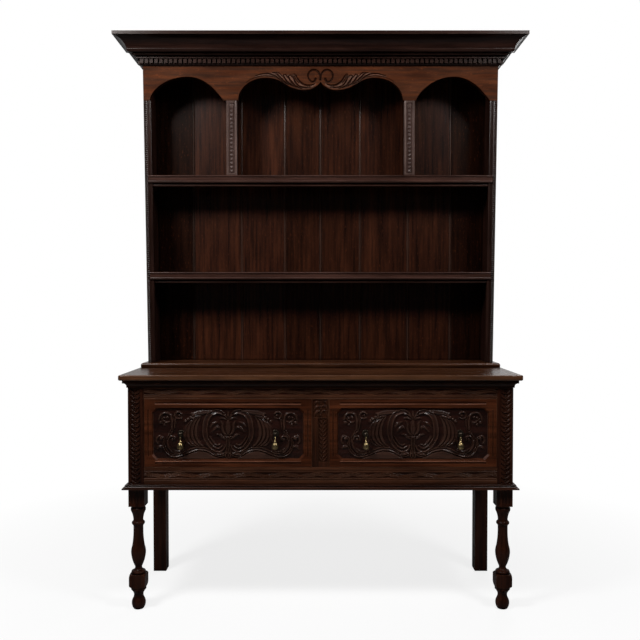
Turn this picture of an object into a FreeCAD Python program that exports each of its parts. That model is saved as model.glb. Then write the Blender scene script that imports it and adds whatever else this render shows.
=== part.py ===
# Kitchen dresser in oak: an open rack with an arched frieze and a dentilled cornice,
# standing at the back of a low base with two drawers and turned front legs.
# Millimetres. X runs to the right, Y to the back, Z up. The origin lies on the floor,
# in the middle of the dresser's width and depth.
import FreeCAD
import Part
import math
import os

# Heights of the whole dresser, from the floor up
worktop_height = 863.0
lower_shelf_rise = 384.0
upper_shelf_rise = 389.0
pilaster_height = 298.0
frieze_height = 138.0
cornice_height = 107.0

# Widths and depths of the whole dresser
base_width = 1397.0
worktop_depth = 500.0
rack_side_setback = 1.8
rack_lean = 16.1
rack_depth = 153.0

# Worktop and the moulding under it
worktop_thickness = 20.0
worktop_overhang = 27.5
worktop_back_overhang = 10.0
worktop_top_round = 4.0
worktop_lower_round = 6.0
bed_moulding_height = 27.0
bed_moulding_projection = 16.5
bed_moulding_foot = 4.0
bed_moulding_flat = 10.5
bed_moulding_skirt = 5.0
bed_hollow_shares = (0.25, 0.67)

# Frame of the base
top_rail_height = 67.0
drawer_opening_height = 250.5
bottom_rail_height = 78.5
rail_thickness = 25.0
muntin_width = 61.0
tenon_thickness = 10.0
tenon_length = 30.0
tenon_shoulder = 9.0
muntin_tenon_length = 18.0
mortise_end_gap = 2.0
end_board_thickness = 20.0
end_board_inset = 4.0
tongue_thickness = 8.0
tongue_length = 8.0
back_panel_thickness = 12.0
back_panel_inset = 8.0

# Legs
post_width = 58.0
post_block_drop = 66.0
lower_block_height = 49.0
foot_height = 81.0
back_leg_width = 52.0
back_leg_depth = 58.0

# Edge moulding at the foot of the frame
edge_moulding_height = 17.0
edge_moulding_projection = 19.5
edge_moulding_lip = 4.5
edge_bead_foot = 8.0
edge_bead_height = 5.0
edge_bead_swell = 2.5
edge_hollow_shares = (0.3, 0.3)

# Drawers
drawer_side_gap = 1.5
drawer_end_gap = 2.0
drawer_front_thickness = 22.0
drawer_side_thickness = 12.0
drawer_side_drop = 6.0
drawer_bottom_thickness = 9.0
drawer_bottom_rise = 9.0
drawer_groove_depth = 6.0
drawer_back_drop = 8.0
dovetail_length = 15.0
dovetail_count = 4
dovetail_root_share = 0.5
dovetail_tip_share = 0.72
running_gap = 0.3

# Sunk field of a drawer front, and the stopped groove along each of its edges
field_side_border = 26.0
field_low_border = 25.0
field_high_border = 31.0
field_slope = 5.0
field_depth = 6.0
field_cant = 17.0
edge_groove_inset = 11.0
edge_groove_width = 5.5
edge_groove_depth = 2.5
edge_groove_stop = 38.0

# Runners, guides, kickers and stops
runner_width = 60.0
runner_height = 22.0
centre_runner_width = 110.0
guide_height = 22.0
kicker_height = 25.0
kicker_gap = 1.5
stop_length = 18.0
stop_height = 14.0
stop_width = 30.0
stop_gap = 0.5
stop_back_gap = 4.0

# Drop pulls
pull_spacing = 342.0
pull_below_centre = 2.8
plate_radius = 13.5
plate_thickness = 2.5
plate_bevel = 1.0
collar_radius = 6.0
collar_length = 3.0
post_neck_radius = 4.0
post_neck_length = 4.5
ball_radius = 8.5
shank_radius = 2.5
shank_clearance = 0.25
shank_proud = 1.0
nut_size = 10.0
nut_thickness = 4.0
pin_radius = 1.0
pin_clearance = 0.15
eye_radius = 3.2
eye_clearance = 0.3
tongue_width = 2.4
slot_clearance = 0.4
slot_depth_clearance = 0.5
drop_length = 56.0
drop_radius = 12.0
drop_stem_width = 4.3
drop_stem_length = 11.0

# Worktop buttons and the wood screws
button_length = 40.0
button_depth = 30.0
button_height = 18.0
button_tongue = 8.0
button_place_shares = (-0.62, 0.62)
end_button_place_shares = (-0.25, 0.3)
screw_length = 34.0
screw_radius = 2.4
screw_head_radius = 4.8
screw_head_depth = 2.6
screw_tip = 5.0
screw_clearance = 0.25
rack_screw_shares = (-0.86, -0.3, 0.3, 0.86)

# Boards of the rack
base_board_thickness = 18.0
base_board_nose = 24.5
nose_round = 8.0
nose_lower_round = 3.0
side_thickness = 20.0
stile_width = 29.0
stile_thickness = 20.0
stile_bead_width = 11.0
stile_groove_width = 4.0
stile_groove_depth = 3.0
shelf_thickness = 20.0
dado_depth = 6.0
top_board_thickness = 15.0
crown_seat_height = 58.0
partition_thickness = 14.0
partition_dado = 4.0
pilaster_width = 42.0
pilaster_spacing = 714.0
pilaster_fillet = 8.0
pilaster_sinking = 3.0

# Moulded strip on the front of each shelf
shelf_strip_reach = 2.5
shelf_strip_lap = 14.0
shelf_bead_height = 8.0
shelf_bead_swell = 3.5
shelf_face_height = 12.0
shelf_lower_bead_height = 11.0
shelf_step_back = 12.0
shelf_step_height = 4.0
shelf_foot_bead_height = 9.0

# Arches of the frieze; the side arches are full on their left and fall away on their right
side_arch_half_width = 151.5
side_arch_rise = 95.0
left_arch_fullness = 0.60
right_arch_fullness = 0.75
side_arch_fall = 2.15
side_arch_foot_share = 0.96
side_arch_steps = 8
frieze_foot_width = 52.0
lobe_half_width = 111.5
lobe_rise = 91.0
bracket_half_width = 64.0
bracket_drop = 49.0
cusp_rise = 33.0

# Back boards of the rack
back_board_thickness = 14.0
back_board_rebate = 10.0
back_joint_shares = (-0.76, -0.469, -0.209, 0.006, 0.245, 0.534, 0.79)
joint_bevel = 2.5
joint_bead_width = 7.0
joint_quirk = 1.0
joint_tongue_length = 5.0
joint_tongue_thickness = 4.0

# Dentil course and crown of the cornice
cornice_projection = 97.0
cornice_return_stop = 26.0
dentil_pitch = 19.2
dentil_width = 12.0
dentil_height = 18.0
dentil_projection = 7.5
dentil_ground = 9.5
dentil_bed_height = 7.0
dentil_bed_foot = 3.0
dentil_hollow_share = 0.33
dentil_cap_height = 7.0
dentil_cap_projection = 21.0
crown_fillet_projection = 25.0
crown_fillet_height = 2.0
crown_bead_foot = 31.0
crown_bead_height = 7.5
crown_bead_swell = 3.5
crown_roll_start = 44.0
crown_roll_reach = 8.0
crown_roll_height = 12.0
crown_roll_shares = (0.75, 0.35)
crown_cove_hollow = 9.0
crown_top_fillet = 12.5
crown_top_step = 3.0
crown_top_width = 28.0
crown_back_foot = 16.0

# Turned shaft of a front leg: (radius share, height share), one pair for a straight
# stretch and two pairs for an arc through the first to the second
shaft_shares = (
    ((0.0, 0.0),),
    ((0.80, 0.0),),
    ((0.90, 0.022), (0.80, 0.044)),
    ((0.70, 0.048),),
    ((0.49, 0.068), (0.44, 0.104)),
    ((0.77, 0.203), (0.92, 0.303)),
    ((0.90, 0.35), (0.79, 0.402)),
    ((0.67, 0.50), (0.615, 0.60)),
    ((0.61, 0.69),),
    ((0.66, 0.715),),
    ((0.82, 0.743), (0.66, 0.771)),
    ((0.61, 0.785),),
    ((0.70, 0.86), (0.93, 0.928)),
    ((0.93, 0.95),),
    ((0.89, 0.967), (0.80, 0.972)),
    ((0.80, 1.0),),
    ((0.0, 1.0),),
)

# Ball foot and neck under the lower block of a front leg, in the same shares
foot_shares = (
    ((0.0, 0.0),),
    ((0.62, 0.0),),
    ((0.87, 0.26), (0.68, 0.50)),
    ((0.595, 0.605), (0.62, 0.71)),
    ((0.755, 0.80), (0.95, 0.885)),
    ((0.95, 1.0),),
    ((0.0, 1.0),),
)

# Barrel that rounds the ends of the lower block, in the same shares
barrel_shares = (
    ((0.0, 0.0),),
    ((0.93, 0.0),),
    ((1.25, 0.06), (1.45, 0.24)),
    ((1.45, 0.78),),
    ((1.25, 0.95), (0.93, 1.0)),
    ((0.0, 1.0),),
)

# Pear drop below its eye: (radius share, share of the length downwards)
drop_shares = (
    ((0.0, 0.16),),
    ((0.17, 0.16),),
    ((0.33, 0.235), (0.17, 0.30)),
    ((0.25, 0.345), (0.14, 0.39)),
    ((0.36, 0.48),),
    ((0.36, 0.51),),
    ((0.90, 0.66), (1.0, 0.80)),
    ((0.86, 0.93), (0.25, 1.0)),
    ((0.0, 1.0),),
)

# Places worked out from the sizes above
base_half = base_width / 2
worktop_front = -worktop_depth / 2
worktop_back = worktop_depth / 2
front_plane = worktop_front + worktop_overhang
back_plane = worktop_back - worktop_back_overhang
worktop_underside = worktop_height - worktop_thickness
opening_top = worktop_underside - top_rail_height
opening_bottom = opening_top - drawer_opening_height
frame_bottom = opening_bottom - bottom_rail_height
post_block_bottom = frame_bottom - post_block_drop
lower_block_top = foot_height + lower_block_height
post_inner = base_half - post_width
post_back = front_plane + post_width
back_leg_inner = base_half - back_leg_width
back_leg_front = back_plane - back_leg_depth
rail_back = front_plane + rail_thickness
end_board_outer = base_half - end_board_inset
end_board_inner = end_board_outer - end_board_thickness
panel_back = back_plane - back_panel_inset
panel_front = panel_back - back_panel_thickness

rack_foot_half = base_half - rack_side_setback
rack_front = worktop_back - rack_depth
stile_back = rack_front + stile_thickness
back_board_front = worktop_back - back_board_thickness
base_board_top = worktop_height + base_board_thickness
lower_shelf_top = worktop_height + lower_shelf_rise
upper_shelf_top = lower_shelf_top + upper_shelf_rise
frieze_bottom = upper_shelf_top + pilaster_height
frieze_top = frieze_bottom + frieze_height
cornice_top = frieze_top + cornice_height
rack_top = frieze_top + crown_seat_height
cornice_back = worktop_back - cornice_return_stop
top_board_bottom = rack_top - top_board_thickness
pilaster_place = pilaster_spacing / 2

drawer_low = opening_bottom + drawer_end_gap
drawer_high = opening_top - drawer_end_gap
drawer_inner_x = muntin_width / 2 + drawer_side_gap
drawer_outer_x = post_inner - drawer_side_gap
drawer_centre_x = (drawer_inner_x + drawer_outer_x) / 2
drawer_side_top = drawer_high - drawer_side_drop
drawer_front_back = front_plane + drawer_front_thickness
stop_front = panel_front - stop_back_gap - stop_length
drawer_rear = stop_front - stop_gap
drawer_bottom_low = drawer_low + drawer_bottom_rise
drawer_bottom_high = drawer_bottom_low + drawer_bottom_thickness
runner_top = drawer_low - running_gap
kicker_bottom = drawer_side_top + kicker_gap
field_face = front_plane + field_depth

pull_z = (drawer_low + drawer_high) / 2 - pull_below_centre
plate_front = field_face - plate_thickness
collar_front = plate_front - collar_length
neck_end = collar_front - post_neck_length
ball_y = neck_end - math.sqrt(ball_radius ** 2 - post_neck_radius ** 2)

along_x = FreeCAD.Vector(1, 0, 0)
along_y = FreeCAD.Vector(0, 1, 0)
along_z = FreeCAD.Vector(0, 0, 1)
origin = FreeCAD.Vector(0, 0, 0)
full_turn = 360
nodes = {}


def point(x, y, z):
    return FreeCAD.Vector(x, y, z)


def block(x_range, y_range, z_range):
    """A squared piece of wood between three pairs of places."""
    corner = point(min(x_range), min(y_range), min(z_range))
    size_x = max(x_range) - min(x_range)
    size_y = max(y_range) - min(y_range)
    size_z = max(z_range) - min(z_range)
    return Part.makeBox(size_x, size_y, size_z, corner)


def traced_face(steps, place):
    """A face bounded by straight stretches (one pair) and arcs (two pairs)."""
    edges = []
    here = steps[0][-1]
    for step in steps[1:] + steps[:1]:
        stop = step[-1]
        if len(step) == 2:
            curve = Part.Arc(place(*here), place(*step[0]), place(*stop))
        else:
            curve = Part.LineSegment(place(*here), place(*stop))
        edges.append(curve.toShape())
        here = stop
    return Part.Face(Part.Wire(edges))


def polygon(corners, place):
    """A face with straight sides."""
    return traced_face([(corner,) for corner in corners], place)


def extruded(face, vector):
    """A solid swept along a vector, with its faces outwards."""
    solid = Part.Solid(face.extrude(vector).Shells[0])
    if solid.Volume < 0:
        solid.reverse()
    return solid


def upright_board(corners, y_low, y_high):
    """A board whose front outline lies in the X and Z directions."""
    face = polygon(corners, lambda x, z: point(x, y_low, z))
    return extruded(face, point(0, y_high - y_low, 0))


def turned(steps, radius, height, centre, direction):
    """A lathe-turned solid: shares of a radius and a height, about an upright axis."""
    rise = height * direction
    sized = [tuple((out * radius, up * rise) for out, up in step) for step in steps]
    face = traced_face(sized, lambda out, up: point(centre.x + out, centre.y, centre.z + up))
    solid = face.revolve(centre, along_z, full_turn)
    solid = Part.Solid(solid.Shells[0])
    if solid.Volume < 0:
        solid.reverse()
    return solid


def turned_along_y(corners, centre):
    """A turned solid about an axis that runs to the back: pairs of (radius, place in Y)."""
    face = traced_face(corners, lambda out, y: point(centre.x + out, y, centre.z))
    solid = Part.Solid(face.revolve(centre, along_y, full_turn).Shells[0])
    if solid.Volume < 0:
        solid.reverse()
    return solid


def mirrored(shape):
    """The same piece for the other side of the dresser."""
    return shape.mirror(origin, along_x)


def joined(first, others):
    """One piece made of overlapping or touching blocks."""
    return first.fuse(others).removeSplitter()


def keep(name, *shapes):
    """Store a named piece, or a group of separate pieces of one kind."""
    solids = []
    for shape in shapes:
        solids.extend(shape.Solids)
    nodes[name] = solids


def keep_pair(name, right_shape):
    """Store a right piece and its left twin."""
    keep("right_" + name, right_shape)
    keep("left_" + name, mirrored(right_shape))


def lean_half_width(z):
    """Half the rack's width at a height: the sides lean outwards as they rise."""
    climb_share = (z - base_board_top) / (frieze_top - base_board_top)
    return rack_foot_half + rack_lean * climb_share


def leaning_board(inset, z_low, z_high, y_low, y_high):
    """A board across the rack whose two ends follow the leaning sides."""
    low = lean_half_width(z_low) - inset
    high = lean_half_width(z_high) - inset
    corners = [(-low, z_low), (low, z_low), (high, z_high), (-high, z_high)]
    return upright_board(corners, y_low, y_high)


def leaning_upright(outer_inset, width, z_low, z_high, y_low, y_high):
    """An upright of the rack's right side that follows its lean."""
    low = lean_half_width(z_low) - outer_inset
    high = lean_half_width(z_high) - outer_inset
    corners = [(low - width, z_low), (low, z_low), (high, z_high), (high - width, z_high)]
    return upright_board(corners, y_low, y_high)


def mitred_run(section, half_width, front_y, back_y, reach, z_range):
    """A moulding round the front and both ends: a front strip and two returns.

    The section is traced in (projection, height) and stands on the planes given by
    the half width and the front.
    """
    outer = half_width + reach
    front_face = traced_face(section, lambda out, z: point(-outer, front_y - out, z))
    front_strip = extruded(front_face, point(outer + outer, 0, 0))
    side_face = traced_face(section, lambda out, z: point(half_width + out, front_y - reach, z))
    side_strip = extruded(side_face, point(0, back_y - front_y + reach, 0))
    z_low, z_high = z_range
    rise = point(0, 0, z_high - z_low)
    front_plan = [
        (reach - half_width, front_y + reach),
        (half_width - reach, front_y + reach),
        (outer, front_y - reach),
        (-outer, front_y - reach),
    ]
    side_plan = [
        (half_width - reach, front_y + reach),
        (outer, front_y - reach),
        (outer, back_y),
        (half_width - reach, back_y),
    ]
    front_keep = extruded(polygon(front_plan, lambda x, y: point(x, y, z_low)), rise)
    side_keep = extruded(polygon(side_plan, lambda x, y: point(x, y, z_low)), rise)
    right_return = side_strip.common(side_keep)
    return [front_strip.common(front_keep), right_return, mirrored(right_return)]


def wood_screw(x, y, z):
    """A countersunk screw driven upwards from the height z."""
    outline = (
        ((0, 0),),
        ((screw_head_radius, 0),),
        ((screw_radius, screw_head_depth),),
        ((screw_radius, screw_length - screw_tip),),
        ((0, screw_length),),
    )
    return turned(outline, 1, 1, point(x, y, z), 1)


def screw_hole(x, y, z):
    """The countersunk pilot hole for the same screw."""
    wide = screw_radius + screw_clearance
    outline = (
        ((0, 0),),
        ((screw_head_radius + screw_clearance, 0),),
        ((wide, screw_head_depth),),
        ((wide, screw_length - screw_tip),),
        ((0, screw_length + screw_clearance),),
    )
    return turned(outline, 1, 1, point(x, y, z), 1)


# Legs and the joints cut in them

def tenon_block(x_range, z_low, z_high, end_gap):
    """Tongue of a front rail, centred in its thickness, pushed into the post."""
    middle = front_plane + rail_thickness / 2
    y_range = (middle - tenon_thickness / 2, middle + tenon_thickness / 2)
    x_low, x_high = x_range
    return block((x_low, x_high + end_gap), y_range, (z_low + tenon_shoulder, z_high - tenon_shoulder))


def end_board_tongue(y_low, y_high):
    """Tongue along one upright edge of an end board."""
    middle = (end_board_inner + end_board_outer) / 2
    x_range = (middle - tongue_thickness / 2, middle + tongue_thickness / 2)
    return block(x_range, (y_low, y_high), (frame_bottom, worktop_underside))


def front_leg():
    """Right post: square down to below the frame, then turned, a block and a ball foot."""
    centre_x = base_half - post_width / 2
    centre_y = front_plane + post_width / 2
    half = post_width / 2
    shaft_height = post_block_bottom - lower_block_top
    x_range = (post_inner, base_half)
    y_range = (front_plane, post_back)
    square = block(x_range, y_range, (post_block_bottom, worktop_underside))
    shaft = turned(shaft_shares, half, shaft_height, point(centre_x, centre_y, lower_block_top), 1)
    barrel = turned(barrel_shares, half, lower_block_height, point(centre_x, centre_y, foot_height), 1)
    lower = block(x_range, y_range, (foot_height, lower_block_top)).common(barrel)
    foot = turned(foot_shares, half, foot_height, point(centre_x, centre_y, 0), 1)
    leg = square.fuse([shaft, lower, foot])
    tenon_range = (post_inner, post_inner + tenon_length)
    slack = mortise_end_gap
    leg = leg.cut(tenon_block(tenon_range, opening_top, worktop_underside, slack))
    leg = leg.cut(tenon_block(tenon_range, frame_bottom, opening_bottom, slack))
    return leg.cut(end_board_tongue(post_back - tongue_length, post_back))


def back_leg():
    """Right back leg: a plain square post with grooves for the end board and the panel."""
    leg = block((back_leg_inner, base_half), (back_leg_front, back_plane), (0, worktop_underside))
    leg = leg.cut(end_board_tongue(back_leg_front, back_leg_front + tongue_length))
    return leg.cut(back_panel())


# Frame of the base

def back_panel():
    """Thin panel between the back legs, its ends in their grooves."""
    end = back_leg_inner + tongue_length
    return block((-end, end), (panel_front, panel_back), (frame_bottom, worktop_underside))


def end_board():
    """Right end of the base, tongued into both legs."""
    y_range = (post_back, back_leg_front)
    board = block((end_board_inner, end_board_outer), y_range, (frame_bottom, worktop_underside))
    front_tongue = end_board_tongue(post_back - tongue_length, post_back)
    back_tongue = end_board_tongue(back_leg_front, back_leg_front + tongue_length)
    return joined(board, [front_tongue, back_tongue])


def front_rail(z_low, z_high):
    """A rail between the posts with a tenon at each end."""
    rail = block((-post_inner, post_inner), (front_plane, rail_back), (z_low, z_high))
    right_tenon = tenon_block((post_inner, post_inner + tenon_length), z_low, z_high, 0)
    return joined(rail, [right_tenon, mirrored(right_tenon)])


def muntin_tenon(z_low, z_high):
    """Tongue at the top or foot of the centre muntin."""
    middle = front_plane + rail_thickness / 2
    half = muntin_width / 2 - tenon_shoulder
    y_range = (middle - tenon_thickness / 2, middle + tenon_thickness / 2)
    return block((-half, half), y_range, (z_low, z_high))


def centre_muntin():
    """Upright between the two drawers."""
    half = muntin_width / 2
    upright = block((-half, half), (front_plane, rail_back), (opening_bottom, opening_top))
    upper = muntin_tenon(opening_top, opening_top + muntin_tenon_length)
    lower = muntin_tenon(opening_bottom - muntin_tenon_length, opening_bottom)
    return joined(upright, [upper, lower])


def button_place(share):
    """Place of a button along the front rail."""
    return share * post_inner


def front_button(x):
    """Wooden button behind the top rail, its tongue in the rail's groove."""
    x_range = (x - button_length / 2, x + button_length / 2)
    z_low = worktop_underside - button_height
    body = block(x_range, (rail_back, rail_back + button_depth), (z_low, worktop_underside))
    tongue = block(x_range, (rail_back - button_tongue, rail_back), (z_low, z_low + button_tongue))
    return joined(body, [tongue])


def end_button(y):
    """Wooden button inside the right end board."""
    y_range = (y - button_length / 2, y + button_length / 2)
    z_low = worktop_underside - button_height
    x_low = end_board_inner - button_depth
    body = block((x_low, end_board_inner), y_range, (z_low, worktop_underside))
    x_range = (end_board_inner, end_board_inner + button_tongue)
    tongue = block(x_range, y_range, (z_low, z_low + button_tongue))
    return joined(body, [tongue])


def screw_places():
    """Every wood screw: (x, y, z of the head)."""
    button_z = worktop_underside - button_height
    places = []
    for share in button_place_shares:
        places.append((button_place(share), rail_back + button_depth / 2, button_z))
    for share in end_button_place_shares:
        for side in (-1, 1):
            x = side * (end_board_inner - button_depth / 2)
            places.append((x, share * worktop_depth, button_z))
    rack_screw_y = (stile_back + back_board_front) / 2
    for share in rack_screw_shares:
        places.append((share * rack_foot_half, rack_screw_y, worktop_underside))
    return places


def worktop():
    """Top of the base with rounded edges at the front and the ends."""
    half = base_half + worktop_overhang
    board = block((-half, half), (worktop_front, worktop_back), (worktop_underside, worktop_height))
    board = rounded_rim(board, worktop_height, worktop_top_round, worktop_back)
    return rounded_rim(board, worktop_underside, worktop_lower_round, worktop_back)


def rounded_rim(board, z, radius, back_y):
    """Round the edges of a board at one height, all but the edge along its back."""
    rim = []
    for edge in board.Edges:
        ends = [vertex.Point for vertex in edge.Vertexes]
        level = all(abs(end.z - z) < radius for end in ends)
        at_back = all(abs(end.y - back_y) < radius for end in ends)
        if level and not at_back:
            rim.append(edge)
    return board.makeFillet(radius, rim)


def bed_moulding_section():
    """Hollow under the worktop's overhang, above a thin flat skirt."""
    top = worktop_underside
    foot = worktop_underside - bed_moulding_height
    skirt = foot + bed_moulding_skirt
    lip = bed_moulding_projection
    hollow_top = top - bed_moulding_flat
    reach_share, height_share = bed_hollow_shares
    middle_out = bed_moulding_foot + (lip - bed_moulding_foot) * reach_share
    middle_up = skirt + (hollow_top - skirt) * height_share
    return (
        ((0, foot),),
        ((bed_moulding_foot, foot),),
        ((bed_moulding_foot, skirt),),
        ((middle_out, middle_up), (lip, hollow_top)),
        ((lip, top),),
        ((0, top),),
    )


def edge_moulding_section():
    """Thin projecting lip, a hollow above it and a small bead on top."""
    top = frame_bottom + edge_moulding_height
    lip = edge_moulding_projection
    hollow_foot = frame_bottom + edge_moulding_lip
    bead_foot = top - edge_bead_height
    reach_share, height_share = edge_hollow_shares
    middle_out = edge_bead_foot + (lip - edge_bead_foot) * reach_share
    middle_up = hollow_foot + (bead_foot - hollow_foot) * height_share
    bead_out = edge_bead_foot + edge_bead_swell
    return (
        ((0, frame_bottom),),
        ((lip, frame_bottom),),
        ((lip, hollow_foot),),
        ((middle_out, middle_up), (edge_bead_foot, bead_foot)),
        ((bead_out, (bead_foot + top) / 2), (edge_bead_foot, top)),
        ((0, top),),
    )


# Runners, guides, kickers and stops

def outer_strip(z_low, z_high):
    """A strip inside the right end of the base, notched round the legs."""
    x_range = (end_board_inner - runner_width, end_board_inner)
    strip = block(x_range, (rail_back, panel_front), (z_low, z_high))
    front_post = block((post_inner, base_half), (front_plane, post_back), (z_low, z_high))
    rear_post = block((back_leg_inner, base_half), (back_leg_front, back_plane), (z_low, z_high))
    return strip.cut(front_post).cut(rear_post)


def centre_strip(z_low, z_high):
    """A strip from front to back between the two drawers."""
    half = centre_runner_width / 2
    return block((-half, half), (rail_back, panel_front), (z_low, z_high))


def drawer_guides():
    """Strips on the runners that keep the drawers square: two outer ones and a centre one."""
    z_range = (runner_top, runner_top + guide_height)
    outer = block((post_inner, end_board_inner), (post_back, back_leg_front), z_range)
    half = muntin_width / 2
    centre = block((-half, half), (rail_back, panel_front), z_range)
    return [outer, mirrored(outer), centre]


def drawer_stops():
    """Blocks on the runners behind the right drawer's two sides."""
    y_range = (stop_front, stop_front + stop_length)
    z_range = (runner_top, runner_top + stop_height)
    inner = block((muntin_width / 2, centre_runner_width / 2), y_range, z_range)
    outer_x = back_leg_inner
    outer = block((outer_x - stop_width, outer_x), y_range, z_range)
    return [inner, outer]


# Drawers

def dovetail_tails(x_range, y_root, y_tip, z_low, z_high):
    """Tails that spread from their root to their tip, evenly spaced up a drawer side."""
    pitch = (z_high - z_low) / dovetail_count
    root_half = pitch * dovetail_root_share / 2
    tip_half = pitch * dovetail_tip_share / 2
    x_low, x_high = x_range
    tails = []
    for index in range(dovetail_count):
        middle = z_low + pitch * index + pitch / 2
        corners = [
            (y_root, middle - root_half),
            (y_root, middle + root_half),
            (y_tip, middle + tip_half),
            (y_tip, middle - tip_half),
        ]
        face = polygon(corners, lambda y, z: point(x_low, y, z))
        tails.append(extruded(face, point(x_high - x_low, 0, 0)))
    return tails


def canted_outline(inset, y):
    """Rim of the right drawer's field, a rectangle with canted corners, drawn in by an inset."""
    x_low = drawer_inner_x + field_side_border + inset
    x_high = drawer_outer_x - field_side_border - inset
    z_low = drawer_low + field_low_border + inset
    z_high = drawer_high - field_high_border - inset
    cant = field_cant
    corners = [
        (x_low + cant, z_low),
        (x_high - cant, z_low),
        (x_high, z_low + cant),
        (x_high, z_high - cant),
        (x_high - cant, z_high),
        (x_low + cant, z_high),
        (x_low, z_high - cant),
        (x_low, z_low + cant),
    ]
    places = [point(x, y, z) for x, z in corners]
    return Part.makePolygon(places + places[:1])


def sunk_field():
    """The hollow cut for the carved field, with sloping sides."""
    rim = canted_outline(0, front_plane)
    floor = canted_outline(field_slope, field_face)
    return Part.makeLoft([rim, floor], True, True)


def edge_grooves():
    """Round-bottomed groove along each edge of the right drawer's front, stopped at the corners."""
    middle = (edge_groove_width / 2, edge_groove_depth)
    section = (((0, 0),), (middle, (edge_groove_width, 0)))
    x_low = drawer_inner_x + edge_groove_stop
    x_high = drawer_outer_x - edge_groove_stop
    z_low = drawer_low + edge_groove_stop
    z_high = drawer_high - edge_groove_stop
    across = point(x_high - x_low, 0, 0)
    upwards = point(0, 0, z_high - z_low)
    near_x = drawer_inner_x + edge_groove_inset
    far_x = drawer_outer_x - edge_groove_inset - edge_groove_width
    near_z = drawer_low + edge_groove_inset
    far_z = drawer_high - edge_groove_inset - edge_groove_width
    grooves = []
    for z in (near_z, far_z):
        face = traced_face(section, lambda over, deep: point(x_low, front_plane + deep, z + over))
        grooves.append(extruded(face, across))
    for x in (near_x, far_x):
        face = traced_face(section, lambda over, deep: point(x + over, front_plane + deep, z_low))
        grooves.append(extruded(face, upwards))
    return Part.makeCompound(grooves)


def shank_hole(x, y_low, y_high):
    """Clear hole for the shank of a pull, from front to back."""
    start = point(x, y_low, pull_z)
    return Part.makeCylinder(shank_radius + shank_clearance, y_high - y_low, start, along_y)


def pull_places():
    """X of the two pulls on the right drawer."""
    return (drawer_centre_x - pull_spacing / 2, drawer_centre_x + pull_spacing / 2)


def right_drawer():
    """The right drawer's wooden pieces, by name."""
    inner = (drawer_inner_x, drawer_inner_x + drawer_side_thickness)
    outer = (drawer_outer_x - drawer_side_thickness, drawer_outer_x)
    full = (drawer_inner_x, drawer_outer_x)
    groove = drawer_groove_depth
    bottom_x = (inner[1] - groove, outer[0] + groove)
    bottom_y = (drawer_front_back - groove, drawer_rear)
    bottom = block(bottom_x, bottom_y, (drawer_bottom_low, drawer_bottom_high))
    tip_y = drawer_front_back - dovetail_length

    back_front = drawer_rear - drawer_side_thickness
    back_high = drawer_side_top - drawer_back_drop
    back = block(full, (back_front, drawer_rear), (drawer_bottom_high, back_high))
    front = block(full, (front_plane, drawer_front_back), (drawer_low, drawer_high))
    front = front.cut(sunk_field()).cut(edge_grooves())
    sides = []
    for x_range in (inner, outer):
        front_tails = dovetail_tails(x_range, drawer_front_back, tip_y, drawer_low, drawer_side_top)
        back_tails = dovetail_tails(x_range, back_front, drawer_rear, drawer_bottom_high, back_high)
        back = back.cut(Part.makeCompound(back_tails))
        board = block(x_range, (drawer_front_back, drawer_rear), (drawer_low, drawer_side_top))
        sides.append(joined(board, front_tails))
        front = front.cut(Part.makeCompound(front_tails))
    front = front.cut(bottom)
    for x in pull_places():
        front = front.cut(shank_hole(x, front_plane, drawer_front_back))
    sides = [side.cut(back).cut(bottom) for side in sides]
    return {"front": front, "inner_side": sides[0], "outer_side": sides[1], "back": back, "bottom": bottom}


# Drop pulls

def pull_plate(x):
    """Round backplate with a bevelled rim and a hole for the shank."""
    hole = shank_radius + shank_clearance
    outline = (
        ((hole, field_face),),
        ((plate_radius, field_face),),
        ((plate_radius, plate_front + plate_bevel),),
        ((plate_radius - plate_bevel, plate_front),),
        ((hole, plate_front),),
    )
    return turned_along_y(outline, point(x, field_face, pull_z))


def pull_post(x):
    """Turned post: shank through the drawer front, collar, neck and split ball head."""
    shank_end = drawer_front_back + nut_thickness + shank_proud
    collar_mid = (plate_front + collar_front) / 2
    outline = (
        ((0, shank_end),),
        ((shank_radius, shank_end),),
        ((shank_radius, plate_front),),
        ((collar_radius, plate_front),),
        ((collar_radius, collar_mid),),
        ((post_neck_radius, collar_front),),
        ((post_neck_radius, neck_end),),
        ((ball_radius, ball_y), (0, ball_y - ball_radius)),
    )
    post = turned_along_y(outline, point(x, field_face, pull_z))
    half_slot = tongue_width / 2 + slot_clearance
    eye_room = eye_radius + slot_depth_clearance
    slot_y = (ball_y - ball_radius - ball_radius, ball_y + eye_room)
    slot_z = (pull_z - ball_radius - ball_radius, pull_z + eye_room)
    post = post.cut(block((x - half_slot, x + half_slot), slot_y, slot_z))
    hole_radius = pin_radius + pin_clearance
    start = point(x - ball_radius, ball_y, pull_z)
    return post.cut(Part.makeCylinder(hole_radius, ball_radius + ball_radius, start, along_x))


def pull_pin(x):
    """Pin across the ball head, on which the drop swings."""
    half = ball_radius - pin_radius
    return Part.makeCylinder(pin_radius, half + half, point(x - half, ball_y, pull_z), along_x)


def pull_nut(x):
    """Square nut inside the drawer front."""
    half = nut_size / 2
    y_range = (drawer_front_back, drawer_front_back + nut_thickness)
    nut = block((x - half, x + half), y_range, (pull_z - half, pull_z + half))
    return nut.cut(shank_hole(x, *y_range))


def pear_drop(x):
    """Pear-shaped drop: a flat eye round the pin, two beads and the pear."""
    half = tongue_width / 2
    eye = Part.makeCylinder(eye_radius, tongue_width, point(x - half, ball_y, pull_z), along_x)
    stem_y = (ball_y - drop_stem_width / 2, ball_y + drop_stem_width / 2)
    stem = block((x - half, x + half), stem_y, (pull_z - drop_stem_length, pull_z))
    pear = turned(drop_shares, drop_radius, drop_length, point(x, ball_y, pull_z), -1)
    hole_radius = pin_radius + eye_clearance
    hole = Part.makeCylinder(hole_radius, tongue_width, point(x - half, ball_y, pull_z), along_x)
    return joined(eye, [stem, pear]).cut(hole)


# Rack

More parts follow.
